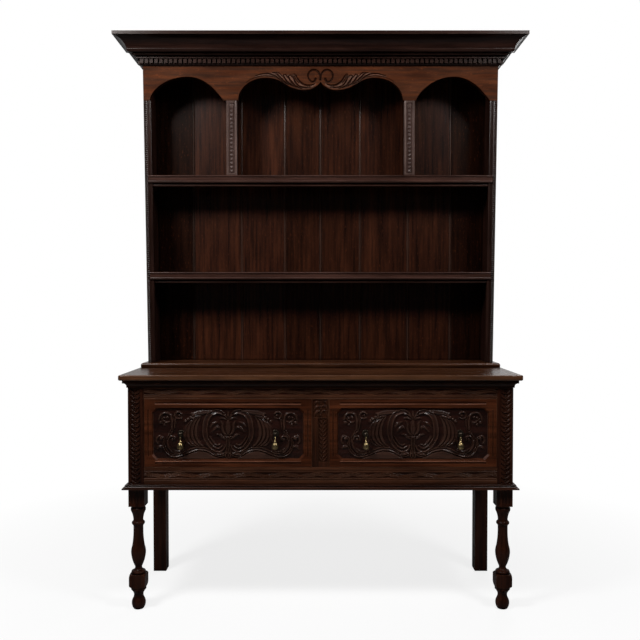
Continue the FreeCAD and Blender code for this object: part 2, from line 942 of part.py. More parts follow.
def back_planks():
    """Eight upright tongued boards with a bead at each joint."""
    edges = [share * rack_foot_half for share in back_joint_shares]
    end = lean_half_width(rack_top)
    lefts = [-end] + edges
    rights = edges + [end]
    front = back_board_front
    back = worktop_back
    tongue_front = (front + back) / 2
    tongue_back = tongue_front + joint_tongue_thickness
    inset = side_thickness - back_board_rebate
    clip = leaning_board(inset, worktop_height, rack_top, front, back)
    planks = []
    for left, right in zip(lefts, rights):
        bead_right = right - joint_quirk
        bead_left = bead_right - joint_bead_width
        low = front + joint_bevel
        outline = [((left, low),), ((left + joint_bevel, front),)]
        if right < end:
            outline += [
                ((bead_left - joint_quirk, front),),
                ((bead_left, low),),
                (((bead_left + bead_right) / 2, front), (bead_right, low)),
                ((right, low),),
                ((right, tongue_front),),
                ((right + joint_tongue_length, tongue_front),),
                ((right + joint_tongue_length, tongue_back),),
                ((right, tongue_back),),
                ((right, back),),
            ]
        else:
            outline += [((right, front),), ((right, back),)]
        outline += [((left, back),)]
        if left > -end:
            outline += [
                ((left, tongue_back),),
                ((left + joint_tongue_length, tongue_back),),
                ((left + joint_tongue_length, tongue_front),),
                ((left, tongue_front),),
            ]
        face = traced_face(tuple(outline), lambda x, y: point(x, y, worktop_height))
        plank = extruded(face, point(0, 0, rack_top - worktop_height))
        planks.append(plank.common(clip))
    return planks


def shelf(top):
    """A shelf housed in the sides, from the stiles to the back boards."""
    inset = side_thickness - dado_depth
    return leaning_board(inset, top - shelf_thickness, top, stile_back, back_board_front)


def stile():
    """Right front upright: a flat outer strip, a groove and a bead along its inner edge."""
    upright = leaning_upright(0, stile_width, base_board_top, frieze_bottom, rack_front, stile_back)
    inset = stile_width - stile_bead_width - stile_groove_width
    floor = rack_front + stile_groove_depth
    groove = leaning_upright(inset, stile_groove_width, base_board_top, frieze_bottom, rack_front, floor)
    return upright.cut(groove)


def shelf_strip(top, stiles):
    """Moulded strip on a shelf's front edge: two beads, a flat and a small foot bead."""
    face = stile_thickness + shelf_strip_reach
    bead_foot = top - shelf_bead_height
    flat_foot = bead_foot - shelf_face_height
    lower_foot = flat_foot - shelf_lower_bead_height
    step_foot = lower_foot - shelf_step_height
    foot = step_foot - shelf_foot_bead_height
    swell = face + shelf_bead_swell
    section = (
        ((0, top),),
        ((face, top),),
        ((swell, (top + bead_foot) / 2), (face, bead_foot)),
        ((face, flat_foot),),
        ((swell, (flat_foot + lower_foot) / 2), (face, lower_foot)),
        ((shelf_step_back, lower_foot),),
        ((shelf_step_back, step_foot),),
        ((shelf_step_back + shelf_bead_swell, (step_foot + foot) / 2), (shelf_step_back, foot)),
        ((0, foot),),
    )
    half = lean_half_width(top) - stile_width + shelf_strip_lap
    profile = traced_face(section, lambda out, z: point(-half, stile_back - out, z))
    strip = extruded(profile, point(half + half, 0, 0))
    return strip.cut(stiles[0]).cut(stiles[1])


def rack_base_board():
    """Board at the foot of the rack, its front and ends nosed."""
    half = rack_foot_half + base_board_nose
    y_range = (rack_front - base_board_nose, back_board_front)
    board = block((-half, half), y_range, (worktop_height, base_board_top))
    board = rounded_rim(board, base_board_top, nose_round, back_board_front)
    return rounded_rim(board, worktop_height, nose_lower_round, back_board_front)


def pilaster():
    """Right inner pilaster with a sunk strip between two fillets."""
    x_low = pilaster_place - pilaster_width / 2
    x_high = pilaster_place + pilaster_width / 2
    z_range = (upper_shelf_top, frieze_bottom)
    board = block((x_low, x_high), (rack_front, stile_back), z_range)
    sunk_x = (x_low + pilaster_fillet, x_high - pilaster_fillet)
    floor = rack_front + pilaster_sinking
    sunk_z = (upper_shelf_top + pilaster_fillet, frieze_bottom - pilaster_fillet)
    return board.cut(block(sunk_x, (rack_front, floor), sunk_z))


def partition():
    """Right partition behind the pilaster, housed in the shelf below."""
    half = partition_thickness / 2
    x_range = (pilaster_place - half, pilaster_place + half)
    z_range = (upper_shelf_top - partition_dado, top_board_bottom)
    return block(x_range, (stile_back, back_board_front), z_range)


def side_arch(centre_x, fullness):
    """Opening of a side arch about its middle: the left half nearly round, the right half falling."""
    half = side_arch_half_width
    outline = []
    for step in range(side_arch_steps):
        turn = math.pi / 2 * step / side_arch_steps
        rise = side_arch_rise * math.sin(turn) ** (fullness + fullness)
        outline.append((centre_x - half * math.cos(turn), frieze_bottom + rise))
    for step in range(side_arch_steps + 1):
        across = math.sin(math.pi / 2 * step / side_arch_steps)
        rise = side_arch_rise * (1 - across ** side_arch_fall)
        outline.append((centre_x + half * side_arch_foot_share * across, frieze_bottom + rise))
    places = [point(x, rack_front, z) for x, z in outline]
    curve = Part.BSplineCurve()
    curve.interpolate(places)
    sill = Part.LineSegment(places[-1], places[0])
    face = Part.Face(Part.Wire([curve.toShape(), sill.toShape()]))
    return extruded(face, point(0, stile_thickness, 0))


def hollow_to_swell(start, stop):
    """Two tangent arcs, level at both ends, from one (x, z) to another."""
    half_run = (start[0] - stop[0]) / 2
    half_fall = (start[1] - stop[1]) / 2
    radius = (half_run ** 2 + half_fall ** 2) / (half_fall + half_fall)
    middle = (stop[0] + half_run, stop[1] + half_fall)
    half_turn = math.atan2(half_fall, half_run)
    across = radius * math.sin(half_turn)
    down = radius * (1 - math.cos(half_turn))
    first = ((start[0] - across, start[1] - down), middle)
    second = ((stop[0] + across, stop[1] + down), stop)
    return [first, second]


def centre_arch():
    """Right half of the centre opening: a round lobe, a bracket point and half the cusp."""
    foot_x = pilaster_place - frieze_foot_width / 2
    crest = (foot_x - lobe_half_width, frieze_bottom + lobe_rise)
    low = (bracket_half_width, crest[1] - bracket_drop)
    cusp = (0, low[1] + cusp_rise)
    # The lobe's shoulder is a quarter ellipse, met here by an arc through its middle
    shoulder_x = foot_x - lobe_half_width * (1 - math.cos(math.pi / 4))
    shoulder_z = frieze_bottom + lobe_rise * math.sin(math.pi / 4)
    cusp_radius = (low[0] ** 2 + cusp_rise ** 2) / (cusp_rise + cusp_rise)
    cusp_mid_x = low[0] / 2
    cusp_mid_z = low[1] + cusp_radius - math.sqrt(cusp_radius ** 2 - cusp_mid_x ** 2)
    steps = [((foot_x, frieze_bottom),), ((shoulder_x, shoulder_z), crest)]
    steps += hollow_to_swell(crest, low)
    steps += [((cusp_mid_x, cusp_mid_z), cusp), ((0, frieze_bottom),)]
    face = traced_face(tuple(steps), lambda x, z: point(x, rack_front, z))
    return extruded(face, point(0, stile_thickness, 0))


def frieze_board():
    """Board across the top of the rack with its three arched openings."""
    board = leaning_board(0, frieze_bottom, rack_top, rack_front, stile_back)
    arch_place = pilaster_place + frieze_foot_width / 2 + side_arch_half_width
    left_arch = side_arch(-arch_place, left_arch_fullness)
    right_arch = side_arch(arch_place, right_arch_fullness)
    lobe = centre_arch()
    for opening in (left_arch, right_arch, lobe, mirrored(lobe)):
        board = board.cut(opening)
    return board


# Cornice

def dentil_strip_section():
    """Ground of the dentil course: a small hollow below and a cap fillet above."""
    foot = frieze_top
    ground_foot = foot + dentil_bed_height
    ground_top = ground_foot + dentil_height
    top = ground_top + dentil_cap_height
    hollow = ((dentil_bed_foot + dentil_ground) / 2, foot + dentil_bed_height * dentil_hollow_share)
    return (
        ((0, foot),),
        ((dentil_bed_foot, foot),),
        (hollow, (dentil_ground, ground_foot)),
        ((dentil_ground, ground_top),),
        ((dentil_cap_projection, ground_top),),
        ((dentil_cap_projection, top),),
        ((0, top),),
    )


def dentil_starts(run):
    """Starts of the dentils along a run, at an even pitch close to the stated one."""
    count = max(round(run / dentil_pitch), 1)
    pitch = run / count
    return [pitch * index + (pitch - dentil_width) / 2 for index in range(count)]


def dentil_course():
    """Three mitred strips of small square teeth."""
    half = lean_half_width(rack_top)
    top = frieze_top + dentil_bed_height + dentil_height + dentil_cap_height
    z_range = (frieze_top, top)
    section = dentil_strip_section()
    strips = mitred_run(section, half, rack_front, cornice_back, dentil_cap_projection, z_range)
    ground_foot = frieze_top + dentil_bed_height
    tooth_z = (ground_foot, ground_foot + dentil_height)
    face = half + dentil_ground
    tooth_y = (rack_front - dentil_ground - dentil_projection, rack_front - dentil_ground)
    front_teeth = []
    for start in dentil_starts(face + face):
        left = start - face
        front_teeth.append(block((left, left + dentil_width), tooth_y, tooth_z))
    side_teeth = []
    side_front = rack_front - dentil_ground
    for start in dentil_starts(cornice_back - side_front):
        low = side_front + start
        x_range = (face, face + dentil_projection)
        side_teeth.append(block(x_range, (low, low + dentil_width), tooth_z))
    front = strips[0].fuse(front_teeth)
    side = strips[1].fuse(side_teeth)
    return [front, side, mirrored(side)]


def cornice_crown():
    """Crown moulding: fillet, bead, roll, deep hollow and top fillet, on a slanting back."""
    foot = frieze_top + dentil_bed_height + dentil_height + dentil_cap_height
    bead_foot = foot + crown_fillet_height
    bead_top = bead_foot + crown_bead_height
    bead_out = crown_bead_foot + crown_bead_swell
    bead_middle = (bead_foot + bead_top) / 2
    hollow_top = cornice_top - crown_top_fillet
    outer = cornice_projection
    hollow_end = outer - crown_top_step
    reach_share, height_share = crown_roll_shares
    roll_out = crown_roll_start + crown_roll_reach * reach_share
    roll_up = bead_top + crown_roll_height * height_share
    cove_start = crown_roll_start + crown_roll_reach
    cove_foot = bead_top + crown_roll_height
    run = hollow_end - cove_start
    rise = hollow_top - cove_foot
    chord = math.hypot(run, rise)
    middle_out = (cove_start + hollow_end) / 2 - crown_cove_hollow * rise / chord
    middle_up = (cove_foot + hollow_top) / 2 + crown_cove_hollow * run / chord
    section = (
        ((0, foot),),
        ((crown_fillet_projection, foot),),
        ((crown_fillet_projection, bead_foot),),
        ((crown_bead_foot, bead_foot),),
        ((bead_out, bead_middle), (crown_bead_foot, bead_top)),
        ((crown_roll_start, bead_top),),
        ((roll_out, roll_up), (cove_start, cove_foot)),
        ((middle_out, middle_up), (hollow_end, hollow_top)),
        ((outer, hollow_top),),
        ((outer, cornice_top),),
        ((outer - crown_top_width, cornice_top),),
        ((crown_back_foot, rack_top),),
        ((0, rack_top),),
    )
    half = lean_half_width(rack_top)
    return mitred_run(section, half, rack_front, cornice_back, outer, (foot, cornice_top))


# Base assembly
screws = [wood_screw(*place) for place in screw_places()]
holes = Part.makeCompound([screw_hole(*place) for place in screw_places()])
front_buttons = [front_button(button_place(share)) for share in button_place_shares]
right_buttons = [end_button(share * worktop_depth) for share in end_button_place_shares]
right_button_group = Part.makeCompound(right_buttons)
left_buttons = [mirrored(button) for button in right_buttons]
buttons = Part.makeCompound(front_buttons + right_buttons + left_buttons)
keep("worktop", worktop().cut(holes))
keep("worktop_buttons", *[button.cut(holes) for button in buttons.Solids])
keep("wood_screws", *screws)
bed_range = (worktop_underside - bed_moulding_height, worktop_underside)
bed_reach = bed_moulding_projection
bed_section = bed_moulding_section()
bed_moulding = mitred_run(bed_section, base_half, front_plane, back_plane, bed_reach, bed_range)
keep("worktop_bed_moulding", *bed_moulding)
edge_range = (frame_bottom, frame_bottom + edge_moulding_height)
edge_reach = edge_moulding_projection
edge_section = edge_moulding_section()
edge_moulding = mitred_run(edge_section, base_half, front_plane, back_plane, edge_reach, edge_range)
keep("bottom_edge_moulding", *edge_moulding)
keep_pair("front_leg", front_leg())
keep_pair("back_leg", back_leg())
keep_pair("end_board", end_board().cut(right_button_group))
keep("base_back_panel", back_panel())
keep("centre_muntin", centre_muntin())
keep("top_front_rail", front_rail(opening_top, worktop_underside).cut(buttons).cut(centre_muntin()))
keep("bottom_front_rail", front_rail(frame_bottom, opening_bottom).cut(centre_muntin()))
outer_runner = outer_strip(runner_top - runner_height, runner_top)
outer_kicker = outer_strip(kicker_bottom, kicker_bottom + kicker_height)
keep("drawer_runners", outer_runner, mirrored(outer_runner))
keep("centre_runner", centre_strip(runner_top - runner_height, runner_top))
centre_kicker = centre_strip(kicker_bottom, kicker_bottom + kicker_height)
keep("drawer_kickers", outer_kicker, mirrored(outer_kicker), centre_kicker)
keep("drawer_guides", *drawer_guides())
keep("drawer_stops", *drawer_stops(), *[mirrored(stop) for stop in drawer_stops()])

# Drawers and their pulls
for name, piece in right_drawer().items():
    keep("right_drawer_" + name, piece)
    keep("left_drawer_" + name, mirrored(piece))
for side_name, sign in (("left", -1), ("right", 1)):
    xs = [sign * x for x in pull_places()]
    keep(side_name + "_drawer_pull_plates", *[pull_plate(x) for x in xs])
    keep(side_name + "_drawer_pull_posts", *[pull_post(x) for x in xs], *[pull_pin(x) for x in xs])
    keep(side_name + "_drawer_pull_nuts", *[pull_nut(x) for x in xs])
    keep(side_name + "_drawer_inner_drop", pear_drop(xs[0]))
    keep(side_name + "_drawer_outer_drop", pear_drop(xs[1]))

# Rack assembly
planks = back_planks()
lower_shelf = shelf(lower_shelf_top)
upper_shelf = shelf(upper_shelf_top)
side_board = leaning_upright(0, side_thickness, base_board_top, top_board_bottom, stile_back, worktop_back)
for housed in (planks[-1], lower_shelf, upper_shelf):
    side_board = side_board.cut(housed)
right_stile = stile()
stiles = (right_stile, mirrored(right_stile))
keep("rack_base_board", rack_base_board().cut(holes))
keep_pair("rack_side", side_board)
keep_pair("stile", right_stile)
keep("lower_shelf", lower_shelf)
keep("upper_shelf", upper_shelf.cut(partition()).cut(mirrored(partition())))
keep("lower_shelf_strip", shelf_strip(lower_shelf_top, stiles))
keep("upper_shelf_strip", shelf_strip(upper_shelf_top, stiles))
keep_pair("pilaster", pilaster())
keep_pair("partition", partition())
keep("rack_top_board", leaning_board(0, top_board_bottom, rack_top, stile_back, back_board_front))
keep("frieze_board", frieze_board())
keep("rack_back_boards", *planks)
keep("dentil_course", *dentil_course())
keep("cornice_crown", *cornice_crown())

# Write one file for each named piece
os.makedirs("parts", exist_ok=True)
for name, solids in sorted(nodes.items()):
    shape = solids[0] if len(solids) == 1 else Part.makeCompound(solids)
    if not all(solid.isValid() and solid.Volume > 0 for solid in solids):
        print("not valid:", name)
    shape.exportStep(os.path.join("parts", name + ".step"))
everything = Part.makeCompound([solid for solids in nodes.values() for solid in solids])
size = everything.optimalBoundingBox(False, False)
print("nodes", len(nodes), "solids", len(everything.Solids))
print("width", round(size.XLength, 1), "depth", round(size.YLength, 1), "height", round(size.ZLength, 1))
print("middle", round(size.Center.x, 3), round(size.Center.y, 3), "lowest", round(size.ZMin, 3))
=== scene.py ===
# %% [markdown]
# # An old carved oak dresser
# The dresser is a plate rack on a low base with two carved drawers. Its structure comes ready made as the
# frame: every board, leg and moulding is already a solid of the right size. This lesson dresses that frame.
# It carves the boards that a carver cut, and it gives each piece its own oak, brass or steel. All places
# are in metres, with X to the right, Y to the back and Z up. Tables of carving are in millimetres, because
# that is how a carver would mark them out.

# %% Load the frame
import math

import bpy
import numpy as np
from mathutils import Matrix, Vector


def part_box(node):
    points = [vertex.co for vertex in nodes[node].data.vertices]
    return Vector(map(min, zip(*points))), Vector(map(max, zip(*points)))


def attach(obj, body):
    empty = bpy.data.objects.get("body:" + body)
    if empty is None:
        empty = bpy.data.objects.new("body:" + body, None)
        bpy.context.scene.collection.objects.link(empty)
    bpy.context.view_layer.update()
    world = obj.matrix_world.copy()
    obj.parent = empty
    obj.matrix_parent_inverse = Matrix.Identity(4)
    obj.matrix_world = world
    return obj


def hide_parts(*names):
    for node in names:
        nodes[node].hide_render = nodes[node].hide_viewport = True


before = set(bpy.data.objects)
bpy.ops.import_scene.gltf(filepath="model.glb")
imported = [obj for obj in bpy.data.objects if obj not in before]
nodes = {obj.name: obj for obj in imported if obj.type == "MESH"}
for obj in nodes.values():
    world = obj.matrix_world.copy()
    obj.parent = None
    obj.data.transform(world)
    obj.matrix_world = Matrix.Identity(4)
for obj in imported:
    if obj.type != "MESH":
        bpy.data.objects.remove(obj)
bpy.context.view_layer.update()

MM = 0.001

# %% [markdown]
# ## Camera
# The picture was taken from straight ahead, at about chest height and a little under three metres away. The
# two sides of the dresser converge hardly at all, so a moderately long lens is right. The camera tips down
# by a little more than a degree, which is what makes the uprights spread slightly towards the top.

# %% Camera
PHOTO_LENS = 42.0
PHOTO_SENSOR = 36.0
PHOTO_PLACE = (-0.002, -2.92, 1.124)
PHOTO_TIP = math.radians(1.342)

camera_data = bpy.data.cameras.new("photo_camera")
camera_data.lens = PHOTO_LENS
camera_data.sensor_width = PHOTO_SENSOR
camera = bpy.data.objects.new("photo_camera", camera_data)
bpy.context.scene.collection.objects.link(camera)
camera.location = PHOTO_PLACE
camera.rotation_euler = (math.pi / 2 - PHOTO_TIP, 0.0, 0.0)
bpy.context.scene.camera = camera
bpy.context.scene.view_settings.view_transform = "Standard"
print("camera at", PHOTO_PLACE)

# %% [markdown]
# ## A short way to add shader nodes
# Every finish below is a small tree of shader nodes. A few helpers keep those trees readable: one adds a node
# and wires its sockets, two do sums and mix colours, and the rest make the noise that every pattern starts
# from.

# %% Node helpers
def put(tree, kind, settings=None, sockets=None):
    """Add a shader node. A socket's value is a number, a colour or another node's output."""
    made = tree.nodes.new("ShaderNode" + kind)
    for name, value in (settings or {}).items():
        setattr(made, name, value)
    for name, value in (sockets or {}).items():
        if isinstance(value, bpy.types.NodeSocket):
            tree.links.new(value, made.inputs[name])
        else:
            made.inputs[name].default_value = value
    return made


def sum_of(tree, operation, *values, clamp=False):
    """One arithmetic step on numbers or outputs."""
    settings = {"operation": operation, "use_clamp": clamp}
    return put(tree, "Math", settings, dict(enumerate(values))).outputs[0]


def mixed(tree, share, first, second, mode="MIX"):
    """Two colours mixed by a share."""
    settings = {"data_type": "RGBA", "blend_type": mode}
    return put(tree, "Mix", settings, {0: share, 6: first, 7: second}).outputs[2]


print("node helpers ready")

# %% Pattern helpers
def ranged(tree, value, low, high, to_low=0.0, to_high=1.0):
    """A value spread from one range to another and clamped."""
    sockets = {"Value": value, "From Min": low, "From Max": high, "To Min": to_low, "To Max": to_high}
    return put(tree, "MapRange", {}, sockets).outputs[0]


def noise(tree, place, scale, detail=3.0, rough=0.55):
    """Soft random cloud, from 0 to 1."""
    sockets = {"Vector": place, "Scale": scale, "Detail": detail, "Roughness": rough}
    return put(tree, "TexNoise", {}, sockets).outputs[0]


def stretched(tree, place, along, across):
    """Place squeezed so that a pattern runs long along X and fine across it."""
    scale = (along, across, across)
    return put(tree, "VectorMath", {"operation": "MULTIPLY"}, {0: place, 1: scale}).outputs[0]


def new_group(name, inputs, outputs):
    """An empty shader group with its named inputs and outputs."""
    group = bpy.data.node_groups.new(name, "ShaderNodeTree")
    for socket, kind in inputs:
        group.interface.new_socket(name=socket, in_out="INPUT", socket_type="NodeSocket" + kind)
    for socket, kind in outputs:
        group.interface.new_socket(name=socket, in_out="OUTPUT", socket_type="NodeSocket" + kind)
    return group, group.nodes.new("NodeGroupInput"), group.nodes.new("NodeGroupOutput")


print("pattern helpers ready")

# %% [markdown]
# ## Floor, background and light
# The dresser stands on a pale floor in a white studio. A white background could come from strong lamps, but
# they would wash out dark oak. So the white comes from the world, and only for camera rays. For everything
# else the world is a plain room: bright behind the dresser, dim in front of it. The polished worktop then
# mirrors the white studio at its ends, while the fronts stay dark, as dark wax does. The floor is white to
# the camera as well, a little less so close to the legs, where the soft shadow of the dresser lies.

# %% World
ROOM_BEHIND = 0.55
ROOM_AHEAD = 0.03
ROOM_LIGHT = 0.015
ROOM_TURN = (-0.25, 0.55)

world = bpy.data.worlds.new("white_studio")
bpy.context.scene.world = world
world.use_nodes = True
tree = world.node_tree
tree.nodes.clear()
ray = put(tree, "LightPath")
heading = put(tree, "TexCoord").outputs["Generated"]
depth = put(tree, "SeparateXYZ", {}, {0: heading}).outputs["Y"]
room = ranged(tree, depth, *ROOM_TURN, ROOM_AHEAD, ROOM_BEHIND)
seen = sum_of(tree, "MAXIMUM", ray.outputs["Is Camera Ray"], ray.outputs["Is Transmission Ray"])
mirrored_room = put(tree, "Mix", {}, {0: ray.outputs["Is Glossy Ray"], 2: ROOM_LIGHT, 3: room}).outputs[0]
strength = put(tree, "Mix", {}, {0: seen, 2: mirrored_room, 3: 1.0}).outputs[0]
background = put(tree, "Background", {}, {"Color": (1.0, 1.0, 1.0, 1.0), "Strength": strength})
tree.links.new(background.outputs[0], put(tree, "OutputWorld").inputs[0])
print("room strength", ROOM_AHEAD, ROOM_BEHIND)

# %% Floor
FLOOR_SIZE = 14.0
FLOOR_BOUNCE = 0.38
FLOOR_PALE = ((0.88, 0.88, 0.88, 1.0), (0.92, 0.92, 0.92, 1.0))
GLOW_NEAR, GLOW_FAR, GLOW_LEAST = 0.7, 2.1, 0.80

floor_mesh = bpy.data.meshes.new("studio_floor")
reach = FLOOR_SIZE / 2
corners = [(-reach, -reach, 0.0), (reach, -reach, 0.0), (reach, reach, 0.0), (-reach, reach, 0.0)]
floor_mesh.from_pydata(corners, [], [(0, 1, 2, 3)])
floor = bpy.data.objects.new("studio_floor", floor_mesh)
bpy.context.scene.collection.objects.link(floor)

floor_paint = bpy.data.materials.new("white_floor")
floor_paint.use_nodes = True
tree = floor_paint.node_tree
tree.nodes.clear()
ray = put(tree, "LightPath")
place = put(tree, "TexCoord").outputs["Object"]
pale = mixed(tree, noise(tree, place, 3.0), *FLOOR_PALE)
bounced = (FLOOR_BOUNCE, FLOOR_BOUNCE, FLOOR_BOUNCE, 1.0)
pale = mixed(tree, ray.outputs["Is Camera Ray"], bounced, pale)
matt = put(tree, "BsdfPrincipled", {}, {"Base Color": pale, "Roughness": 0.9})
glow = put(tree, "Emission", {}, {"Color": (1.0, 1.0, 1.0, 1.0), "Strength": 1.0})
away = put(tree, "VectorMath", {"operation": "LENGTH"}, {0: place}).outputs["Value"]
glowing = ranged(tree, away, GLOW_NEAR, GLOW_FAR, GLOW_LEAST, 1.0)
seen = sum_of(tree, "MULTIPLY", ray.outputs["Is Camera Ray"], glowing)
shown = put(tree, "MixShader", {}, {0: seen, 1: matt.outputs[0], 2: glow.outputs[0]})
tree.links.new(shown.outputs[0], put(tree, "OutputMaterial").inputs[0])
floor_mesh.materials.append(floor_paint)
print("floor", FLOOR_SIZE, "m across")

# %% Lamps
def soft_lamp(name, place, aim, size, power):
    """A large soft lamp that points at a place."""
    data = bpy.data.lights.new(name, "AREA")
    data.shape = "RECTANGLE"
    data.size, data.size_y = size
    data.energy = power
    lamp = bpy.data.objects.new(name, data)
    bpy.context.scene.collection.objects.link(lamp)
    lamp.location = place
    away = [a - p for a, p in zip(aim, place)]
    lamp.rotation_euler = (math.atan2(math.hypot(away[0], away[1]), -away[2]), 0.0,
                           math.atan2(away[1], away[0]) - math.pi / 2)
    return lamp


soft_lamp("left_softbox", (-1.5, -1.4, 2.8), (0.0, 0.0, 1.0), (0.60, 0.60), 70.0)
soft_lamp("right_softbox", (1.5, -1.4, 2.8), (0.0, 0.0, 1.0), (0.60, 0.60), 44.0)
soft_lamp("top_softbox", (-0.2, -1.9, 4.0), (0.0, -0.2, 0.8), (1.3, 0.8), 14.0)
soft_lamp("back_softbox", (1.2, 2.6, 2.6), (0.0, 0.2, 1.0), (1.2, 1.2), 26.0)
print("lamps", len(bpy.data.lights))

# %% [markdown]
# ## Oak grain
# Oak shows long bands of early and late wood, fine fibres, and dark open pores a centimetre or two long.
# All of them run along the board. The group takes a place whose X runs along the grain, squeezes noise
# along it, and gives masks. The materials decide the colours, so one group serves every board. Each pair of
# numbers below says how often the noise changes in a metre, first along the board and then across it. The
# edges say between which values of the noise a band, a pore or a fleck begins and is complete.

# %% Oak grain group
BAND_GRAIN = (3.6, 84.0)
FIBRE_GRAIN = (10.0, 380.0)
CLOUD_GRAIN = (5.0, 24.0)
PORE_GRAIN = (42.0, 1250.0)
FLECK_GRAIN = (60.0, 170.0)
BAND_EDGE, PORE_EDGE, FLECK_EDGE = (0.38, 0.62), (0.60, 0.70), (0.60, 0.72)
BAND_SHARE = 0.62
FIBRE_RELIEF = 0.5

grain_inputs = [("Place", "Vector"), ("Seed", "Float")]
grain_outputs = [("Figure", "Float"), ("Clouds", "Float"), ("Pores", "Float"), ("Flecks", "Float"),
                 ("Relief", "Float")]
oak_grain, given, result = new_group("oak_grain", grain_inputs, grain_outputs)
shift = put(oak_grain, "CombineXYZ", {}, {0: given.outputs["Seed"], 1: given.outputs["Seed"]}).outputs[0]
moved = put(oak_grain, "VectorMath", {"operation": "ADD"}, {0: given.outputs["Place"], 1: shift}).outputs[0]
bands = noise(oak_grain, stretched(oak_grain, moved, *BAND_GRAIN), 1.0, 4.0, 0.62)
bands = ranged(oak_grain, bands, *BAND_EDGE)
fibres = noise(oak_grain, stretched(oak_grain, moved, *FIBRE_GRAIN), 1.0, 2.0)
clouds = noise(oak_grain, stretched(oak_grain, moved, *CLOUD_GRAIN), 1.0, 3.0)
pores = noise(oak_grain, stretched(oak_grain, moved, *PORE_GRAIN), 1.0, 1.0)
pores = ranged(oak_grain, pores, *PORE_EDGE)
flecks = noise(oak_grain, stretched(oak_grain, moved, *FLECK_GRAIN), 1.0, 2.0, 0.7)
flecks = ranged(oak_grain, flecks, *FLECK_EDGE)
figure = sum_of(oak_grain, "MULTIPLY", bands, BAND_SHARE)
figure = sum_of(oak_grain, "MULTIPLY_ADD", fibres, 1.0 - BAND_SHARE, figure)
relief = sum_of(oak_grain, "MULTIPLY_ADD", fibres, FIBRE_RELIEF, bands)
relief = sum_of(oak_grain, "SUBTRACT", relief, pores)
outputs = {"Figure": figure, "Clouds": clouds, "Pores": pores, "Flecks": flecks, "Relief": relief}
for name, value in outputs.items():
    oak_grain.links.new(value, result.inputs[name])
print("oak_grain", len(oak_grain.nodes), "nodes")

# %% [markdown]
# ## Grain direction
# A board's grain follows its length. Upright pieces need it along Z, shelves and rails along X, and the
# returns of the mouldings along Y. Mouldings turn the corner at a mitre, so their grain has to turn there
# too. The second group finds the side of the mitre from the place alone.

# %% Grain direction groups
GRAIN_ORDER = {"X": (0, 1, 2), "Y": (1, 0, 2), "Z": (2, 0, 1)}


def turned_place(tree, place, along):
    """Place with its axes in such an order that X runs along the grain."""
    parts = put(tree, "SeparateXYZ", {}, {0: place}).outputs
    order = GRAIN_ORDER[along]
    return put(tree, "CombineXYZ", {}, {i: parts[order[i]] for i in range(3)}).outputs[0]


mitre_grain, given, result = new_group("mitre_grain", [("Place", "Vector"), ("Corner", "Float")],
                                       [("Place", "Vector")])
parts = put(mitre_grain, "SeparateXYZ", {}, {0: given.outputs["Place"]}).outputs
reach_out = sum_of(mitre_grain, "ABSOLUTE", parts[0])
reach_out = sum_of(mitre_grain, "ADD", reach_out, parts[1])
on_return = sum_of(mitre_grain, "GREATER_THAN", reach_out, given.outputs["Corner"])
ahead = turned_place(mitre_grain, given.outputs["Place"], "X")
sideways = turned_place(mitre_grain, given.outputs["Place"], "Y")
chosen = put(mitre_grain, "Mix", {"data_type": "VECTOR"}, {0: on_return, 4: ahead, 5: sideways}).outputs[1]
mitre_grain.links.new(chosen, result.inputs["Place"])
print("mitre_grain ready")

# %% [markdown]
# ## Back boards
# Eight boards of different widths close the back of the rack. No two came from the same tree, so each has a
# tone of its own. The two end boards are darker still: that is painted shadow of the rack's sides. The bead
# along each joint is painted paler than the board, a painted highlight. All of it follows from the place
# alone.

# %% Plank group
BACK_JOINTS = (-0.5295, -0.3268, -0.1456, 0.0042, 0.1707, 0.3720, 0.5504)
# Tones of the boards from left to right; the dark first and last ones stand for painted shadow of the rack's
# sides.
PLANK_TONES_AND_SHADOW = (0.36, 1.32, 1.38, 0.88, 1.00, 1.10, 1.06, 0.42)
JOINT_BEAD, JOINT_BEAD_HALF = 0.0045, 0.0022
plank_outputs = [("ToneAndShadow", "Float"), ("Bead", "Float")]
planks, given, result = new_group("back_planks", [("Place", "Vector")], plank_outputs)
across = put(planks, "SeparateXYZ", {}, {0: given.outputs["Place"]}).outputs[0]
tone_and_shadow, bead = PLANK_TONES_AND_SHADOW[0], 0.0
for joint, before, after in zip(BACK_JOINTS, PLANK_TONES_AND_SHADOW, PLANK_TONES_AND_SHADOW[1:]):
    past = sum_of(planks, "GREATER_THAN", across, joint)
    tone_and_shadow = sum_of(planks, "MULTIPLY_ADD", past, after - before, tone_and_shadow)
    on_bead = sum_of(planks, "COMPARE", across, joint - JOINT_BEAD, JOINT_BEAD_HALF)
    bead = sum_of(planks, "MAXIMUM", bead, on_bead)
planks.links.new(tone_and_shadow, result.inputs["ToneAndShadow"])
planks.links.new(bead, result.inputs["Bead"])
print("planks", len(PLANK_TONES_AND_SHADOW))

# %% [markdown]
# ## Handling wear and painted shade in the corners
# Hands and dusters rub the stain off every sharp edge. The corners of the oak are darkened as painted shade,
# where little light reaches, and the brass uses the same mask for its darker hollows. Both can be read from
# the shape: a bevel lookup bends the normal only near an edge, and ambient occlusion finds the corners.

# %% Wear group
RUB_FROM, RUB_FULL = 0.995, 0.80
CORNER_REACH = 0.012
CORNER_FROM, CORNER_FULL = 0.92, 0.35
PATCH_EDGE, PATCH_LEAST = (0.38, 0.62), 0.25

